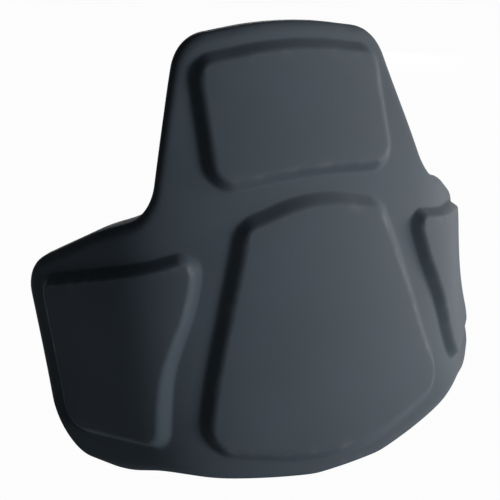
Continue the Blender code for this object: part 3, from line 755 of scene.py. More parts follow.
def leatherette(name, colour, worn, roughness):
    """Matte synthetic leather: fine pebble grain, slow colour drift and slight rub marks on crests."""
    made, tree, inputs = new_material(name, colour, roughness)
    inputs["Specular IOR Level"].default_value = 0.2
    where = on_piece(tree)
    crest = node(tree, "ShaderNodeAttribute", {"attribute_name": "crest"}).outputs["Fac"]
    worn_share = times(stretched(noise(where, 55.0, 5.0), 0.45, 0.75), crest)
    drift_share = stretched(noise(where, 9.0, 3.0), 0.3, 0.7)
    base = mix_colours(drift_share, shade_of(colour, 0.86), colour)
    feed(inputs["Base Color"], mix_colours(times(worn_share, 0.5), base, worn))
    rough = math_node("MULTIPLY_ADD", drift_share, 0.08, roughness - 0.04)
    feed(inputs["Roughness"], math_node("SUBTRACT", rough, times(worn_share, 0.12)))
    pebble = times(cells(where, 900.0, "SMOOTH_F1"), 0.7)
    grain = math_node("ADD", pebble, times(noise(where, 1800.0, 2.0), 0.3))
    feed(inputs["Normal"], bump(grain, 0.00022, 0.55))
    return made


def woven(name, colour, roughness, pitch, depth, sheen=0.2):
    """Cloth with a plain weave that follows the piece's own pattern map; the threads' tops are painted
    lighter and the hollows between them darker, as painted highlight and shade.
    """
    made, tree, inputs = new_material(name, colour, roughness)
    inputs["Sheen Weight"].default_value = sheen
    where = on_cloth(tree)
    parts = node(tree, "ShaderNodeSeparateXYZ", Vector=where).outputs
    along, across = (math_node("SINE", times(part, 2 * math.pi / pitch)) for part in parts[:2])
    weave = times(along, across)
    ribs = times(math_node("ABSOLUTE", along), 0.5)
    height = math_node("ADD", math_node("ADD", weave, ribs), times(noise(where, 2500.0, 3.0), 0.6))
    feed(inputs["Normal"], bump(height, depth, 0.8))
    # Painted light and shade of the weave: lighter on the raised threads, darker in the hollows between
    # them
    weave_light_and_shade = stretched(weave, -1.0, 1.0)
    feed(inputs["Base Color"], mix_colours(weave_light_and_shade, shade_of(colour, 0.7), shade_of(colour, 1.35)))
    return made


def air_mesh(name, colour, hole_pitch):
    """Spacer mesh: round holes in staggered rows, painted darker inside as the shade in their hollows."""
    made, tree, inputs = new_material(name, colour, 0.9)
    inputs["Sheen Weight"].default_value = 0.3
    where = on_cloth(tree)
    rim = stretched(cells(where, 1.0 / hole_pitch, randomness=0.12), 0.22, 0.42)
    height = math_node("ADD", rim, times(noise(where, 3000.0, 2.0), 0.3))
    feed(inputs["Normal"], bump(height, 0.0006, 0.9))
    # Painted shade: the holes are darkened to a quarter of the cloth's colour
    feed(inputs["Base Color"], mix_colours(rim, shade_of(colour, 0.25), colour))
    return made


def moulded_plastic(name, colour):
    """Black plastic with the fine spark texture of its mould."""
    made, tree, inputs = new_material(name, colour, 0.42)
    where = on_piece(tree)
    feed(inputs["Normal"], bump(noise(where, 4000.0, 2.0), 0.00008, 0.5))
    feed(inputs["Roughness"], math_node("MULTIPLY_ADD", noise(where, 120.0, 3.0), 0.15, 0.36))
    return made


def plated_steel(name, colour):
    """Dull nickel plate with fine scuffs."""
    made, tree, inputs = new_material(name, colour, 0.3, 1.0)
    feed(inputs["Roughness"], math_node("MULTIPLY_ADD", noise(on_piece(tree), 700.0, 4.0), 0.3, 0.18))
    return made


def foam_material(name, colour):
    made, tree, inputs = new_material(name, colour, 0.95)
    feed(inputs["Normal"], bump(cells(on_piece(tree), 1500.0), 0.0003, 0.7))
    return made


COVER = leatherette("cover_leatherette", (0.069, 0.091, 0.115), (0.100, 0.120, 0.138), 0.76)
PATCH_COVER = leatherette("patch_leatherette", (0.060, 0.066, 0.074), (0.10, 0.105, 0.11), 0.5)
BINDING = woven("binding_tape", (0.030, 0.031, 0.034), 0.8, 0.0012, 0.0002)
LINING = woven("lining_cloth", (0.048, 0.049, 0.053), 0.85, 0.0009, 0.00015)
MESH_CLOTH = air_mesh("air_mesh", (0.075, 0.078, 0.086), 0.0030)
WEBBING = woven("webbing", (0.042, 0.042, 0.045), 0.75, 0.0016, 0.00035, 0.3)
THREAD = new_material("thread", (0.16, 0.165, 0.17), 0.6)[0]
PLASTIC = moulded_plastic("moulded_plastic", (0.018, 0.018, 0.019))
STEEL = plated_steel("plated_steel", (0.42, 0.42, 0.43))
FOAM = foam_material("foam", (0.030, 0.030, 0.032))


# Camera, floor and light

def add_camera():
    data = bpy.data.cameras.new("camera")
    data.sensor_width = SENSOR_WIDTH
    data.lens = SENSOR_WIDTH * FOCAL_PIXELS / FRAME_PIXELS
    data.clip_start = 0.01
    camera = linked("camera", data)
    level = math.cos(CAMERA_TILT)
    back = Vector((math.sin(CAMERA_TURN) * level, -math.cos(CAMERA_TURN) * level, math.sin(CAMERA_TILT)))
    turn = back.to_track_quat("Z", "Y").to_matrix().to_4x4() @ Matrix.Rotation(CAMERA_ROLL, 4, "Z")
    camera.matrix_world = Matrix.Translation(Vector(CAMERA_TARGET) + back * CAMERA_DISTANCE) @ turn
    bpy.context.scene.camera = camera


def add_lamp(name, towards, size, power, colour):
    data = bpy.data.lights.new(name, "AREA")
    data.shape = "DISK"
    data.size = size
    data.energy = power
    data.color = colour
    made = linked(name, data)
    direction = Vector(towards).normalized()
    made.location = Vector(LAMP_TARGET) + direction * LAMP_DISTANCE
    made.rotation_euler = direction.to_track_quat("Z", "Y").to_euler()


def pale_for_camera(tree, surface, colour, share):
    """Mixes an even pale glow into what the camera, mirrors and glass see of a surface."""
    rays = node(tree, "ShaderNodeLightPath").outputs
    seen = math_node("MAXIMUM", rays["Is Camera Ray"], rays["Is Glossy Ray"])
    seen = math_node("MAXIMUM", seen, rays["Is Transmission Ray"])
    glow = node(tree, "ShaderNodeEmission", Color=(*colour, 1.0)).outputs[0]
    mixed = node(tree, "ShaderNodeMixShader")
    for socket, value in zip(mixed.inputs, (times(seen, share), surface, glow)):
        feed(socket, value)
    return mixed.outputs[0]


def add_floor():
    bpy.ops.mesh.primitive_plane_add(size=FLOOR_SIZE)
    floor = bpy.context.object
    floor.name = "floor"
    made, tree, inputs = new_material("floor_paper", (0.13, 0.13, 0.13), 0.9)
    inputs["Specular IOR Level"].default_value = 0.0
    paper = tree.nodes["Principled BSDF"].outputs[0]
    feed(tree.nodes["Material Output"].inputs["Surface"], pale_for_camera(tree, paper, WHITE, FLOOR_GLOW))
    floor.data.materials.append(made)


def add_world():
    world = bpy.data.worlds.new("studio")
    bpy.context.scene.world = world
    world.use_nodes = True
    background = world.node_tree.nodes["Background"].inputs
    seen = node(world.node_tree, "ShaderNodeLightPath").outputs["Is Camera Ray"]
    feed(background["Strength"], math_node("MULTIPLY_ADD", seen, WORLD_SEEN, WORLD_LIGHT))
    feed(background["Color"], (*WHITE, 1.0))


add_camera()
add_floor()
add_world()
for lamp_name, lamp in LAMPS.items():
    add_lamp(lamp_name, *lamp)
bpy.context.scene.view_settings.view_transform = "Standard"


# Cover with its raised blocks

BLOCKS = {
    "chest_block": (chest_corners(), BLOCK_RAMP),
    "belly_block": (belly_corners(), BLOCK_RAMP),
    "right_side_block": (side_corners(), SIDE_BLOCK_RAMP),
    "left_side_block": (other_side(side_corners()), SIDE_BLOCK_RAMP),
}


def soft_clamp(value, blend):
    """Zero below, the value above, with a round blend between."""
    near = np.clip(value + blend, 0.0, 2 * blend)
    return near * near / (4 * blend) + np.maximum(value - blend, 0.0)


def wall_scale(rise):
    """Share of a wall's full width where the outline's normal rises this much: upper walls are narrower."""
    return 1 - TOP_NARROWING * ease(*UPPER_WALL_RISE, rise)


def nearest_rise(points, line):
    """How much the outline's normal rises at its place nearest to each point."""
    nearest = in_parts(points, lambda part: ((part - line[0]) ** 2).sum(2).argmin(1))
    return line[1][nearest, 1]


def block_lift(points, corners, foot, width):
    """Height of one raised block over the pattern, and how near a point is to its rounded crest."""
    line = outline(corners, LIFT_STEP)
    distance = signed_distance(points, line[0])
    scale = wall_scale(nearest_rise(points, line))
    share = (foot * scale - distance) / (width * scale)
    share = soft_clamp(share, FOOT_BLEND) - soft_clamp(share - 1, CREST_BLEND)
    crown = BLOCK_CROWN * (1 - np.exp(np.minimum(distance, 0.0) / CROWN_REACH))
    middle, spread, strength = BLOCK_CREST
    return BLOCK_HEIGHT * share + crown, bell(distance, middle, spread) * strength


def vertex_normals(points, faces):
    scratch = bpy.data.meshes.new("scratch")
    scratch.from_pydata(points.tolist(), [], faces)
    scratch.update()
    normals = np.empty(len(points) * 3, np.float32)
    scratch.vertices.foreach_get("normal", normals)
    bpy.data.meshes.remove(scratch)
    return normals.reshape(-1, 3)


def make_cover():
    """One skin over the front, its blocks and the rim: a tray with an inner side, then wrapped."""
    edge = outline(pad_corners(), EDGE_STEP)
    loops = roll_loops(edge, RIM_ROUND, steps=6)
    bands = [(edge[0], -RIM_ROUND, 0.0)]
    for corners, (foot, width) in BLOCKS.values():
        line = outline(corners, BLOCK_STEP)
        steps = [foot - share * width for share in RAMP_SHARES]
        scale = wall_scale(line[1][:, 1:])
        loops += [moved(line, step * scale) for step in steps]
        bands.append((line[0], steps[-1], steps[0]))
    points, faces = flat_sheet(loops, COVER_CELL, bands)
    inset = -signed_distance(points, edge[0])
    flat = at_depth(points, -roll(inset, RIM_ROUND))
    count = len(points)
    middle, spread, strength = RIM_CREST
    crest = bell(inset, middle, spread) * strength
    lift = np.zeros(count)
    for corners, (foot, width) in BLOCKS.values():
        rise, near = block_lift(points, corners, foot, width)
        lift += rise
        crest += near
    edges = open_edges(faces)
    for depth in RIM_WALL_DEPTHS:
        old = sorted({vertex for pair in edges for vertex in pair})
        new = {vertex: len(flat) + index for index, vertex in enumerate(old)}
        flat = np.concatenate([flat, at_depth(flat[old, :2], depth)])
        faces += [(b, a, new[a], new[b]) for a, b in edges]
        edges = [(new[a], new[b]) for a, b in edges]
    inner = flat - vertex_normals(flat, faces) * SKIN
    flat[:count, 2] += lift
    both = np.concatenate([flat, inner])
    made = add_mesh("cover", to_space(both), doubled(faces, len(flat)), COVER, sharp_angle=70)
    mark_crests(made, np.concatenate([np.clip(crest, 0, 1), np.zeros(len(both) - count)]))
    finish_piece(made, "shield", "cover", "front_skin", *BLOCKS, fill=1.0)


# Foam and lining behind the cover

def make_layer(name, node_name, slot, corners, front, back, material, cell, rounding=0.0):
    """A flat layer, wrapped, with its front edge rounded if asked."""
    points, faces, inset = rolled_sheet(corners, cell, rounding)
    if rounding:
        front = front - roll(inset, rounding)
    flat, faces = closed_slab(points, faces, front, back)
    made = add_mesh(name, to_space(flat), faces, material, flat[:, :2])
    finish_piece(made, "shield", slot, node_name, fill=1.0)


def make_layers():
    gap = SKIN + SEAM
    whole = shrunk(pad_corners(), gap)
    inner = shrunk(pad_corners(), BINDING_INSET + BINDING_WIDTH + SEAM)
    make_layer("core", "foam_core", "foam", whole, CORE_FRONT, CORE_BACK, FOAM, FOAM_CELL, RIM_ROUND - gap)
    make_layer("backing", "foam_backing", "foam", inner, BACKING_FRONT, BACKING_BACK, FOAM, FOAM_CELL)
    make_layer("lining", "back_liner", "lining", inner, LINER_FRONT, LINER_BACK, LINING, LINING_CELL)


# Stitches and tape

def stitch_row(paths, pitch=0.0042, length=0.0029, radius=0.00042):
    """Raised stitches along paths in space, each given as points, normals and whether it closes."""
    turns = np.radians(np.arange(STITCH_SIDES) * 360.0 / STITCH_SIDES)
    stitch_faces = tube_faces(len(STITCH_RINGS), STITCH_SIDES)
    block = len(STITCH_RINGS) * STITCH_SIDES
    all_points, faces = [], []
    base = 0
    for path, normals, closed in paths:
        path, normals = np.asarray(path, float), np.asarray(normals, float)
        if closed:
            path, normals = np.vstack([path, path[:1]]), np.vstack([normals, normals[:1]])
        lengths = running_length(path)
        count = max(1, int(lengths[-1] / pitch))
        middle = (np.arange(count) + 0.5) * lengths[-1] / count
        up = unit(read_along(middle, lengths, normals))
        ahead, behind = (read_along(middle + step, lengths, path) for step in (length / 3, -length / 3))
        heading = unit(ahead - behind)
        across = np.cross(up, heading)
        for offset, lift, size in STITCH_RINGS:
            centre = read_along(middle, lengths, path) + heading * offset * length + up * lift * radius
            for turn in turns:
                all_points.append(centre + (across * math.cos(turn) + up * math.sin(turn)) * size * radius)
        for index in range(count):
            name = [base + part * count + index for part in range(block)]
            faces += [tuple(name[vertex] for vertex in face) for face in stitch_faces]
        base += block * count
    return np.vstack(all_points), faces


def stitching(name, body, slot, paths, **sizes):
    made = add_mesh(name, *stitch_row(paths, **sizes), THREAD, sharp_angle=70)
    return finish_piece(made, body, slot)


def rear_row(flat, closed):
    """A row of stitches on a rear face of the wrapped pattern."""
    return to_space(flat), -surface_normals(flat), closed


def straight_row(first, last, out):
    return (first, last), (out, out), False


def hem_rows(end, away, half, out):
    """Two rows across webbing, reaching half to each side of its middle."""
    middles = [end + away * shift for shift in (0.0, HEM_ROW_GAP)]
    return [straight_row(middle - half, middle + half, out) for middle in middles]


def box_rows(centre, along, up, out, length, height):
    """A sewn box with a cross in it."""
    corners = [centre + along * (length / 2 * a) + up * (height / 2 * b)
               for a, b in ((-1, -1), (1, -1), (1, 1), (-1, 1))]
    legs = ((0, 1), (1, 2), (2, 3), (3, 0), (0, 2), (1, 3))
    return [straight_row(corners[first], corners[last], out) for first, last in legs]


def edge_tube(name, line, section, cloth, *nodes, sharp_angle=50):
    """A tube of tape along an outline, from its section's points (out, depth) and its cloth's width."""
    count = len(line[0])
    flat = np.concatenate([at_depth(moved(line, out), depth) for out, depth in section])
    pattern = np.column_stack([np.tile(running_length(line[0]), len(section)), np.repeat(cloth, count)])
    faces = tube_faces(len(section), count, closed=True)
    made = add_mesh(name, to_space(flat), faces, BINDING, pattern, sharp_angle)
    finish_piece(made, "shield", "binding", *nodes)


def make_binding():
    """A cloth tape folded round the foam's rear edge, with its row of stitches behind."""
    line = outline(pad_corners(), EDGE_STEP)
    front, back = CORE_BACK - SEAM, LINER_BACK
    half_depth, half_width = (front - back) / 2, BINDING_WIDTH / 2
    turns = np.linspace(0, 2 * np.pi, TAPE_SIDES, endpoint=False)
    outs = squarer(np.cos(turns), TAPE_SQUARENESS[0]) * half_width - BINDING_INSET - half_width
    depths = squarer(np.sin(turns), TAPE_SQUARENESS[1]) * half_depth + (front + back) / 2
    cloth = turns * (half_width + half_depth) * TAPE_CLOTH_SHARE
    edge_tube("edge_tape", line, np.column_stack([outs, depths]), cloth, "edge_binding", sharp_angle=60)
    row = at_depth(moved(line, -BINDING_INSET - BINDING_WIDTH * TAPE_STITCH_SHARE), back)
    stitching("edge_tape_stitches", "shield", "binding", [rear_row(row, True)])


# Comfort pads

def comfort_shapes():
    side_rear = WING_GIRTH - SIDE_COMFORT_REAR_MARGIN
    low = SIDE_BOTTOM_INNER[1] + COMFORT_INSET
    side = [
        (SIDE_BOTTOM_INNER[0] + SIDE_COMFORT_FRONT_INSET, low, COMFORT_RADIUS),
        (side_rear, low, COMFORT_RADIUS),
        (side_rear, SIDE_TOP_OUTER, COMFORT_RADIUS),
        (SIDE_TOP_INNER[0] + COMFORT_INSET, SIDE_TOP_INNER[1] - COMFORT_INSET, COMFORT_RADIUS),
    ]
    half = CHEST_COMFORT_HALF
    return {
        "chest_comfort_pad": rectangle((-half, CHEST_BOTTOM), (half, CHEST_TOP), COMFORT_RADIUS),
        "belly_comfort_pad": shrunk(belly_corners(), COMFORT_INSET),
        "right_side_comfort_pad": side,
        "left_side_comfort_pad": other_side(side),
    }


# Sewn channels of the comfort pads, from end to end
CHANNELS = {
    "chest_comfort_pad": [((-0.022, 0.312), (-0.022, 0.407)), ((0.022, 0.312), (0.022, 0.407))],
    "belly_comfort_pad": [((-0.033, 0.046), (-0.033, 0.247)), ((0.033, 0.046), (0.033, 0.247)),
                          ((-0.089, 0.075), (-0.0705, 0.205)), ((0.089, 0.075), (0.0705, 0.205))],
    "right_side_comfort_pad": [((0.200, 0.120), (0.252, 0.118))],
    "left_side_comfort_pad": [((-0.252, 0.118), (-0.200, 0.120))],
}


def away_from_lines(points, lines):
    """Distance of points to the nearest of some straight lines with two ends."""
    nearest = np.full(len(points), np.inf)
    for first, last in lines:
        first, run = np.array(first), np.array(last) - np.array(first)
        share = np.clip(((points - first) @ run) / (run @ run), 0, 1)
        nearest = np.minimum(nearest, np.linalg.norm(points - first - share[:, None] * run, axis=1))
    return nearest


def inflated(made, held):
    """Places of a cushion's points after its cloth is blown up a little between its sewn lines."""
    group = made.vertex_groups.new(name="sewn")
    group.add([int(index) for index in np.flatnonzero(held)], 1.0, "REPLACE")
    cloth = made.modifiers.new("cloth", "CLOTH")
    for setting, value in CLOTH_SETTINGS.items():
        setattr(cloth.settings, setting, value)
    cloth.settings.vertex_group_mass = group.name
    cloth.settings.effector_weights.gravity = 0
    start, end = np.empty((2, len(made.data.vertices) * 3))
    made.data.vertices.foreach_get("co", start)
    for number in range(1, SWELL_FRAMES + 1):
        bpy.context.scene.frame_set(number)
    shaped = made.evaluated_get(bpy.context.evaluated_depsgraph_get()).to_mesh()
    shaped.vertices.foreach_get("co", end)
    made.modifiers.remove(cloth)
    made.vertex_groups.remove(group)
    bpy.context.scene.frame_set(1)
    start, end = start.reshape(-1, 3), end.reshape(-1, 3)
    swell = end - start
    reach = np.maximum(np.linalg.norm(swell, axis=1), 1e-9)
    return start + swell * np.minimum(1.0, MOST_SWELL / reach)[:, None]


def make_comfort_pad(name, corners):
    """A cushion of air mesh with sewn channels, simulated flat and then wrapped, and piping round it."""
    lines = CHANNELS[name]
    points, faces, inset = rolled_sheet(corners, COMFORT_CELL, COMFORT_ROUND, steps=4)
    seam = away_from_lines(points, lines)
    rest = COMFORT_THICKNESS - SWELL_ROOM
    fall = roll(inset, COMFORT_ROUND) * (rest - LEAST_CLOTH) / COMFORT_ROUND
    depth = np.minimum(fall + CHANNEL_DEPTH * bell(seam, 0.0, CHANNEL_WIDTH), rest - LEAST_CLOTH)
    count = len(points)
    flat, all_faces = closed_slab(points, faces, COMFORT_FRONT, COMFORT_FRONT - rest + depth)
    made = add_mesh(name + "_cushion", flat, all_faces, MESH_CLOTH, flat[:, :2])
    held = np.concatenate([np.ones(count, bool), (inset < SEWN_EDGE) | (seam < SEWN_CHANNEL)])
    flat = inflated(made, held)
    flat[count:, 2] = np.minimum(flat[count:, 2], COMFORT_FRONT - LEAST_SWOLLEN)
    flat[:, 2] = np.maximum(flat[:, 2], COMFORT_FRONT - COMFORT_THICKNESS - SWELL_PAST)
    made.data.vertices.foreach_set("co", to_space(flat).ravel())
    made.data.update()
    finish_piece(made, "shield", "mesh", name, fill=COMFORT_FILL)
    paths = [np.linspace(first, last, CHANNEL_POINTS) for first, last in lines]
    rows = [rear_row(at_depth(path, COMFORT_FRONT - rest + CHANNEL_DEPTH), False) for path in paths]
    stitching(name + "_stitches", "shield", "mesh", rows)
    turns = np.linspace(0, 2 * np.pi, PIPING_SIDES, endpoint=False)
    section = np.column_stack([PIPING_HALF[0] * np.cos(turns) + PIPING_OUT,
                               PIPING_HALF[1] * np.sin(turns) + COMFORT_FRONT - PIPING_BACK])
    edge_tube(name + "_piping", outline(corners, EDGE_STEP), section, turns * PIPING_CLOTH)


# Webbing

def webbing_section(width, thickness):
    """Points (across, up) of flat webbing with round edges, anticlockwise."""
    half, high = width / 2, thickness / 2
    flat = np.linspace(-1, 1, 9)
    top = [(-share * (half - high), high * (1 - WEB_CROWN * share * share)) for share in flat]
    left = [(-half + high - high * math.sin(angle), (1 - WEB_CROWN) * high * math.cos(angle))
            for angle in np.radians((45, 90, 135))]
    return np.array(top + left + [(-x, -y) for x, y in top] + [(-x, -y) for x, y in left])


def webbing(name, path, widths, width, thickness=WEB, closed=False, pitch=0.0022, passes=3):
    """A strip of webbing along a path, with the direction across it at each of the path's points."""
    path, widths = (np.array([tuple(value) for value in values]) for values in (path, widths))
    lengths = running_length(path)
    places = np.linspace(0, lengths[-1], max(8, int(lengths[-1] / pitch)))
    even = read_along(places, lengths, path)
    across = read_along(places, lengths, widths)
    if closed:
        even, places, across = even[:-1], places[:-1], across[:-1]
        heading = unit(np.roll(even, -1, 0) - np.roll(even, 1, 0))
    else:
        for _ in range(passes):
            even[1:-1] = even[1:-1] * 0.5 + (even[:-2] + even[2:]) * 0.25
        heading = unit(np.gradient(even, axis=0))
    across = unit(across - heading * (across * heading).sum(1)[:, None])
    up = np.cross(heading, across)
    section = webbing_section(width, thickness)
    beside, above = section[None, :, :1], section[None, :, 1:]
    vertices = even[:, None, :] + across[:, None, :] * beside + up[:, None, :] * above
    pattern = np.column_stack([np.repeat(places, len(section)), np.tile(section[:, 0], len(even))])
    faces = tube_faces(len(even), len(section), closed)
    return add_mesh(name, vertices.reshape(-1, 3), faces, WEBBING, pattern, sharp_angle=60)


def arc(centre, first, second, radius, start, end, steps=14):
    angles = np.radians(np.linspace(start, end, steps + 1))
    return [centre + first * (radius * math.cos(angle)) + second * (radius * math.sin(angle))
            for angle in angles]


def bend(first, corner, last, steps=12):
    return [first * (1 - t) ** 2 + corner * (2 * t * (1 - t)) + last * t ** 2
            for t in np.linspace(0, 1, steps + 1)]


def belt_directions():
    slope = np.polyval(np.polyder(PROFILE), BELT_HEIGHT)
    up = Vector((0.0, slope, 1.0)).normalized()
    along = Vector((1.0, 0.0, 0.0))
    return along, up.cross(along), up


def belt_line():
    """The right belt half's bend from its sewn end: fixed point, bend start, corner and bend end."""
    along = belt_directions()[0]
    fixed = place(BELT_SEWN_GIRTH + BELT_SEWN_LENGTH / 2, BELT_HEIGHT, WEB_DEPTH)
    leaving = place(BELT_SEWN_GIRTH - BELT_SEWN_LENGTH / 2, BELT_HEIGHT, WEB_DEPTH)
    heading = (fixed - leaving).normalized()
    reach = BELT_BEND_RADIUS * math.tan(heading.angle(along) / 2)
    corner = leaving - heading * reach
    return fixed, leaving, corner, corner - along * reach


def belt_centre(x):
    """Middle of the belt's two lays at a distance across the pad."""
    start = belt_line()[3]
    return Vector((x, start.y, start.z)) + belt_directions()[1] * LAY_OFFSET


def make_belt_half(name, side):
    """A belt half from its patch to its buckle end, round the end bar and back as a tail."""
    along, out, up = belt_directions()
    away = along * side
    fixed, leaving, corner, start = [Vector((side * point.x, point.y, point.z)) for point in belt_line()]
    bar = belt_centre(side * (MOUTH_AT + PLUG_LENGTH - BAR_RADIUS))
    meet = bar + away * BELT_LOOP_CLOSE
    tail = belt_centre(side * TAIL_REACH[side]) + out * LAY_OFFSET
    path = [fixed] + bend(leaving, corner, start) + [meet - out * LAY_OFFSET]
    path += arc(bar, -away, -out, BAR_RADIUS + SEAM + WEB / 2, 90, -90)
    path += [meet + out * LAY_OFFSET, tail]
    strip = webbing(name + "_webbing", path, [up] * len(path), BELT_WIDTH, passes=2)
    hem = tail - away * HEM_LENGTH + out * (WEB / 2)
    rows = hem_rows(hem, away, up * (BELT_WIDTH * BELT_HEM_SHARE), out)
    if side > 0:
        spot = belt_centre((bar.x + tail.x) / 2 + BOX_BESIDE) + out * (LAY_OFFSET + WEB / 2)
        rows += box_rows(spot, along, up, out, BOX_LENGTH, BELT_WIDTH - BOX_MARGIN)
    body = None if side > 0 else "shield"
    finish_piece(strip, body, "webbing", name)
    threads = stitching(name + "_stitches", body, "webbing", rows, **HEM_STITCHES)
    if side > 0:
        for piece in (strip, threads):
            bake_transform(piece)


def make_keeper():
    """The loop of webbing that holds the left belt half's tail."""
    along, out, up = belt_directions()
    centre = belt_centre(-KEEPER_AT)
    depth = LAYS / 2 + SEAM + KEEPER_WALL / 2
    height = BELT_WIDTH / 2 + SEAM + KEEPER_WALL / 2
    radius = KEEPER_BEND_RADIUS
    path = []
    for sign_out, sign_up, start in ((1, 1, 0), (-1, 1, 90), (-1, -1, 180), (1, -1, 270)):
        middle = centre + out * (sign_out * (depth - radius)) + up * (sign_up * (height - radius))
        path += arc(middle, out, up, radius, start, start + 90, 5)
    path.append(path[0])
    ring = webbing("keeper_loop", path, [along] * len(path), KEEPER_LENGTH, KEEPER_WALL,
                   closed=True, pitch=0.0009)
    finish_piece(ring, "shield", "webbing", "belt_keeper")
    face = centre + out * (depth + KEEPER_WALL / 2) + up * KEEPER_STITCHES_UP
    rows = hem_rows(face, up, along * KEEPER_STITCH_HALF, out)
    stitching("keeper_stitches", "shield", "webbing", rows, pitch=0.0026, length=0.0020)


def make_strap(name, side):
    """A shoulder strap from its patch down round the belt, and back up as a tail."""
    along, out, up = belt_directions()
    centre = belt_centre(side * STRAP_SPACING)
    foot = centre + up * (BELT_WIDTH / 2 + STRAP_WIDTH / 2)
    top = place(STRAP_SPACING, STRAP_TOP - STRAP_SEWN_LENGTH, WEB_DEPTH)
    rise = Vector((0.0, top.y - foot.y, top.z - foot.z)).normalized()
    away = -along.cross(rise)
    girth = side * STRAP_SPACING
    fixed = place(girth, STRAP_TOP, WEB_DEPTH)
    leaving = place(girth, STRAP_TOP - STRAP_SEWN_LENGTH, WEB_DEPTH)
    beside = place(girth + side * STRAP_WIDTH, STRAP_TOP, WEB_DEPTH)
    tangent = (beside - fixed).normalized() * side
    main_foot = foot + away * LAY_OFFSET
    corner = leaving + (leaving - fixed).normalized() * STRAP_BEND_REACH
    main_foot.x = corner.x
    run_start = corner + (main_foot - corner).normalized() * STRAP_BEND_REACH
    settled = run_start + (main_foot - run_start).normalized() * STRAP_TWIST_LENGTH
    path = [fixed] + bend(leaving, corner, run_start)
    widths = [tangent] * len(path)
    radius = LAYS / 2 + RUNNING + WEB / 2
    lower, upper = centre - up * (BELT_WIDTH / 2), centre + up * (BELT_WIDTH / 2)
    loop = [settled, main_foot, upper + out * radius]
    loop += arc(lower, out, -up, radius, 0, 180)
    loop += [upper - out * radius, foot - away * LAY_OFFSET, foot - away * LAY_OFFSET + rise * STRAP_TAIL]
    for point in loop:
        point.x = corner.x
    path += loop
    widths += [along] * len(loop)
    strip = webbing(name + "_webbing", path, widths, STRAP_WIDTH)
    finish_piece(strip, "shield", "webbing", name)
    end = path[-1] - rise * HEM_LENGTH - away * (WEB / 2)
    rows = hem_rows(end, rise, along * (STRAP_WIDTH * STRAP_HEM_SHARE), -away)
    stitching(name + "_stitches", "shield", "webbing", rows, **HEM_STITCHES)


# Patches over the sewn ends, and their rivets

def rivet_head():
    """A low domed rivet head with a rolled foot, its base on the origin."""
    bpy.ops.object.select_all(action="DESELECT")
    middle = (0.0, 0.0, RIVET_FOOT / 2)
    bpy.ops.mesh.primitive_cylinder_add(vertices=32, radius=RIVET_RADIUS, depth=RIVET_FOOT, location=middle)
    head = bpy.context.object
    bpy.ops.object.mode_set(mode="EDIT")
    bpy.ops.mesh.select_all(action="DESELECT")
    bpy.ops.mesh.select_mode(type="FACE")
    work = bmesh.from_edit_mesh(head.data)
    for face in work.faces:
        face.select_set(face.normal.z > 0.9)
    bmesh.update_edit_mesh(head.data)
    for inset, rise in RIVET_DOME:
        bpy.ops.mesh.inset(thickness=inset)
        bpy.ops.transform.translate(value=(0, 0, rise))
    bpy.ops.object.mode_set(mode="OBJECT")
    round_edges(head, RIVET_EDGE, 2, 40)
    bpy.ops.object.transform_apply(location=True, rotation=True, scale=True)
    coat(head.data, STEEL, 40)
    return head


def make_patch(name, side, low, high, strap_low, strap_high, master):
    """A patch that hugs the webbing's end, settles on the lining round it and has two rivets."""
    corners = rectangle(low, high, PATCH_RADIUS)
    if side < 0:
        corners = other_side(corners)

    def front_depth(points):
        s, z = points[:, 0] * side, points[:, 1]
        beyond = np.maximum(strap_low[0] - s, s - strap_high[0]).clip(0)
        above = np.maximum(strap_low[1] - z, z - strap_high[1]).clip(0)
        settled = ease(*PATCH_SETTLING, np.hypot(beyond, above))
        return PATCH_FRONT + (LINER_BACK - PATCH_CLEARANCE - PATCH_FRONT) * settled

    points, faces, inset = rolled_sheet(corners, PATCH_CELL, PATCH_ROUND)
    front = front_depth(points)
    groove_depth, groove_width = PATCH_GROOVE
    groove = groove_depth * bell(inset, PATCH_STITCH_INSET, groove_width)
    flat, faces = closed_slab(points, faces, front, front - PATCH + roll(inset, PATCH_ROUND) + groove)
    made = add_mesh(name + "_cover", to_space(flat), faces, PATCH_COVER, sharp_angle=60)
    mark_crests(made, bell(np.tile(inset, 2), 0.0, PATCH_ROUND))
    finish_piece(made, "shield", "cover", name)
    row = moved(outline(corners, PATCH_CELL), -PATCH_STITCH_INSET)
    rows = [rear_row(at_depth(row, front_depth(row) - PATCH + groove_depth), True)]
    stitching(name + "_stitches", "shield", "cover", rows, pitch=0.0036, length=0.0026)
    girth, height = side * (low[0] + high[0]) / 2, (low[1] + high[1]) / 2
    upright = high[1] - low[1] > high[0] - low[0]
    for number, step in ((1, -RIVET_SPACING / 2), (2, RIVET_SPACING / 2)):
        spot = (girth, height + step) if upright else (girth + step, height)
        spot = (*spot, PATCH_FRONT - PATCH)
        normal = Vector(-surface_normals([spot])[0])
        head = linked(f"{name}_rivet_head_{number}", master.data.copy())
        turn = normal.to_track_quat("Z", "Y").to_matrix().to_4x4()
        head.data.transform(Matrix.Translation(place(*spot) + normal * SEAM) @ turn)
        finish_piece(head, "shield", "rivet", f"{name}_rivet_{number}")


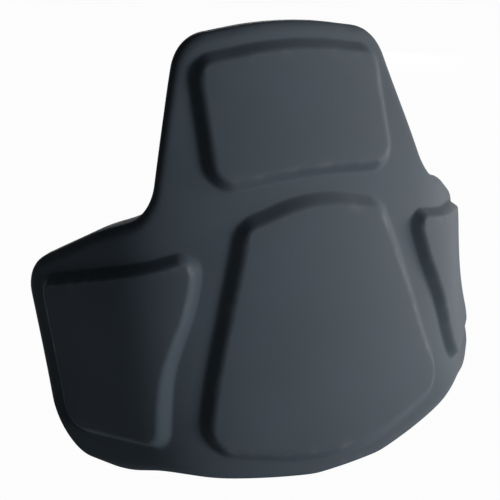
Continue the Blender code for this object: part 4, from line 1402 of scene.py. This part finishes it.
def make_patches():
    master = rivet_head()
    belt_low = (BELT_SEWN_GIRTH - BELT_SEWN_LENGTH / 2, BELT_HEIGHT - BELT_WIDTH / 2)
    belt_high = (BELT_SEWN_GIRTH + BELT_SEWN_LENGTH / 2, BELT_HEIGHT + BELT_WIDTH / 2)
    strap_low = (STRAP_SPACING - STRAP_WIDTH / 2, STRAP_TOP - STRAP_SEWN_LENGTH)
    strap_high = (STRAP_SPACING + STRAP_WIDTH / 2, STRAP_TOP)
    for name, side in (("left", -1), ("right", 1)):
        make_patch(name + "_belt_patch", side,
                   (belt_low[0] + PATCH_BACKSET, belt_low[1] - PATCH_BORDER),
                   (belt_high[0] + PATCH_BORDER, belt_high[1] + PATCH_BORDER),
                   (belt_low[0] - PATCH_OPEN_END, belt_low[1]), belt_high, master)
        make_patch(name + "_strap_patch", side,
                   (strap_low[0] - PATCH_BORDER, strap_low[1] + PATCH_BACKSET),
                   (strap_high[0] + PATCH_BORDER, strap_high[1] + PATCH_BORDER),
                   (strap_low[0], strap_low[1] - PATCH_OPEN_END), strap_high, master)
    bpy.data.objects.remove(master)


# Buckle and sliders

def softened(source, name, width):
    """A copy of a moulded solid with its sharp edges rounded."""
    bpy.ops.object.select_all(action="DESELECT")
    made = linked(name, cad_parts[source].data.copy())
    bpy.context.view_layer.objects.active = made
    made.select_set(True)
    made.data.materials.clear()
    bpy.ops.object.mode_set(mode="EDIT")
    bpy.ops.mesh.select_all(action="SELECT")
    bpy.ops.mesh.remove_doubles(threshold=1e-6)
    bpy.ops.mesh.dissolve_limited(angle_limit=math.radians(1.0))
    bpy.ops.object.mode_set(mode="OBJECT")
    round_edges(made, width, 3, 35)
    coat(made.data, PLASTIC, 35)
    return made


def grip_ribs(name, centre, directions):
    """Low rounded ribs that stand on a face of the buckle's socket, side by side."""
    bpy.ops.object.select_all(action="DESELECT")
    bpy.ops.mesh.primitive_cube_add(size=1.0)
    master = bpy.context.object
    master.data.transform(Matrix.Diagonal((*RIB_SECTION, RIB_LENGTH, 1.0)))
    round_edges(master, RIB_EDGE, 3, 35)
    turn = Matrix(directions).transposed().to_4x4()
    joined = bmesh.new()
    for spot in RIB_SPOTS:
        copy = master.data.copy()
        copy.transform(Matrix.Translation(centre + directions[0] * spot) @ turn)
        joined.from_mesh(copy)
        bpy.data.meshes.remove(copy)
    mesh = bpy.data.meshes.new(name)
    joined.to_mesh(mesh)
    joined.free()
    bpy.data.objects.remove(master)
    coat(mesh, PLASTIC, 40)
    finish_piece(linked(name, mesh), "shield", "plastic")


def make_hardware():
    for source, body, width in MOULDINGS:
        finish_piece(softened(source, source + "_moulding", width), body, "plastic", source)
    directions = belt_directions()
    for way, side in ((1, "rear"), (-1, "front")):
        face = belt_centre(MOUTH_AT) + directions[1] * (way * SOCKET_HALF_DEPTH)
        grip_ribs(f"buckle_socket_ribs_{side}", face, directions)


make_cover()
make_layers()
make_binding()
for pad_name, pad_shape in comfort_shapes().items():
    make_comfort_pad(pad_name, pad_shape)
make_belt_half("left_belt", -1)
make_belt_half("right_belt", 1)
make_keeper()
make_strap("left_shoulder_strap", -1)
make_strap("right_shoulder_strap", 1)
make_patches()
make_hardware()
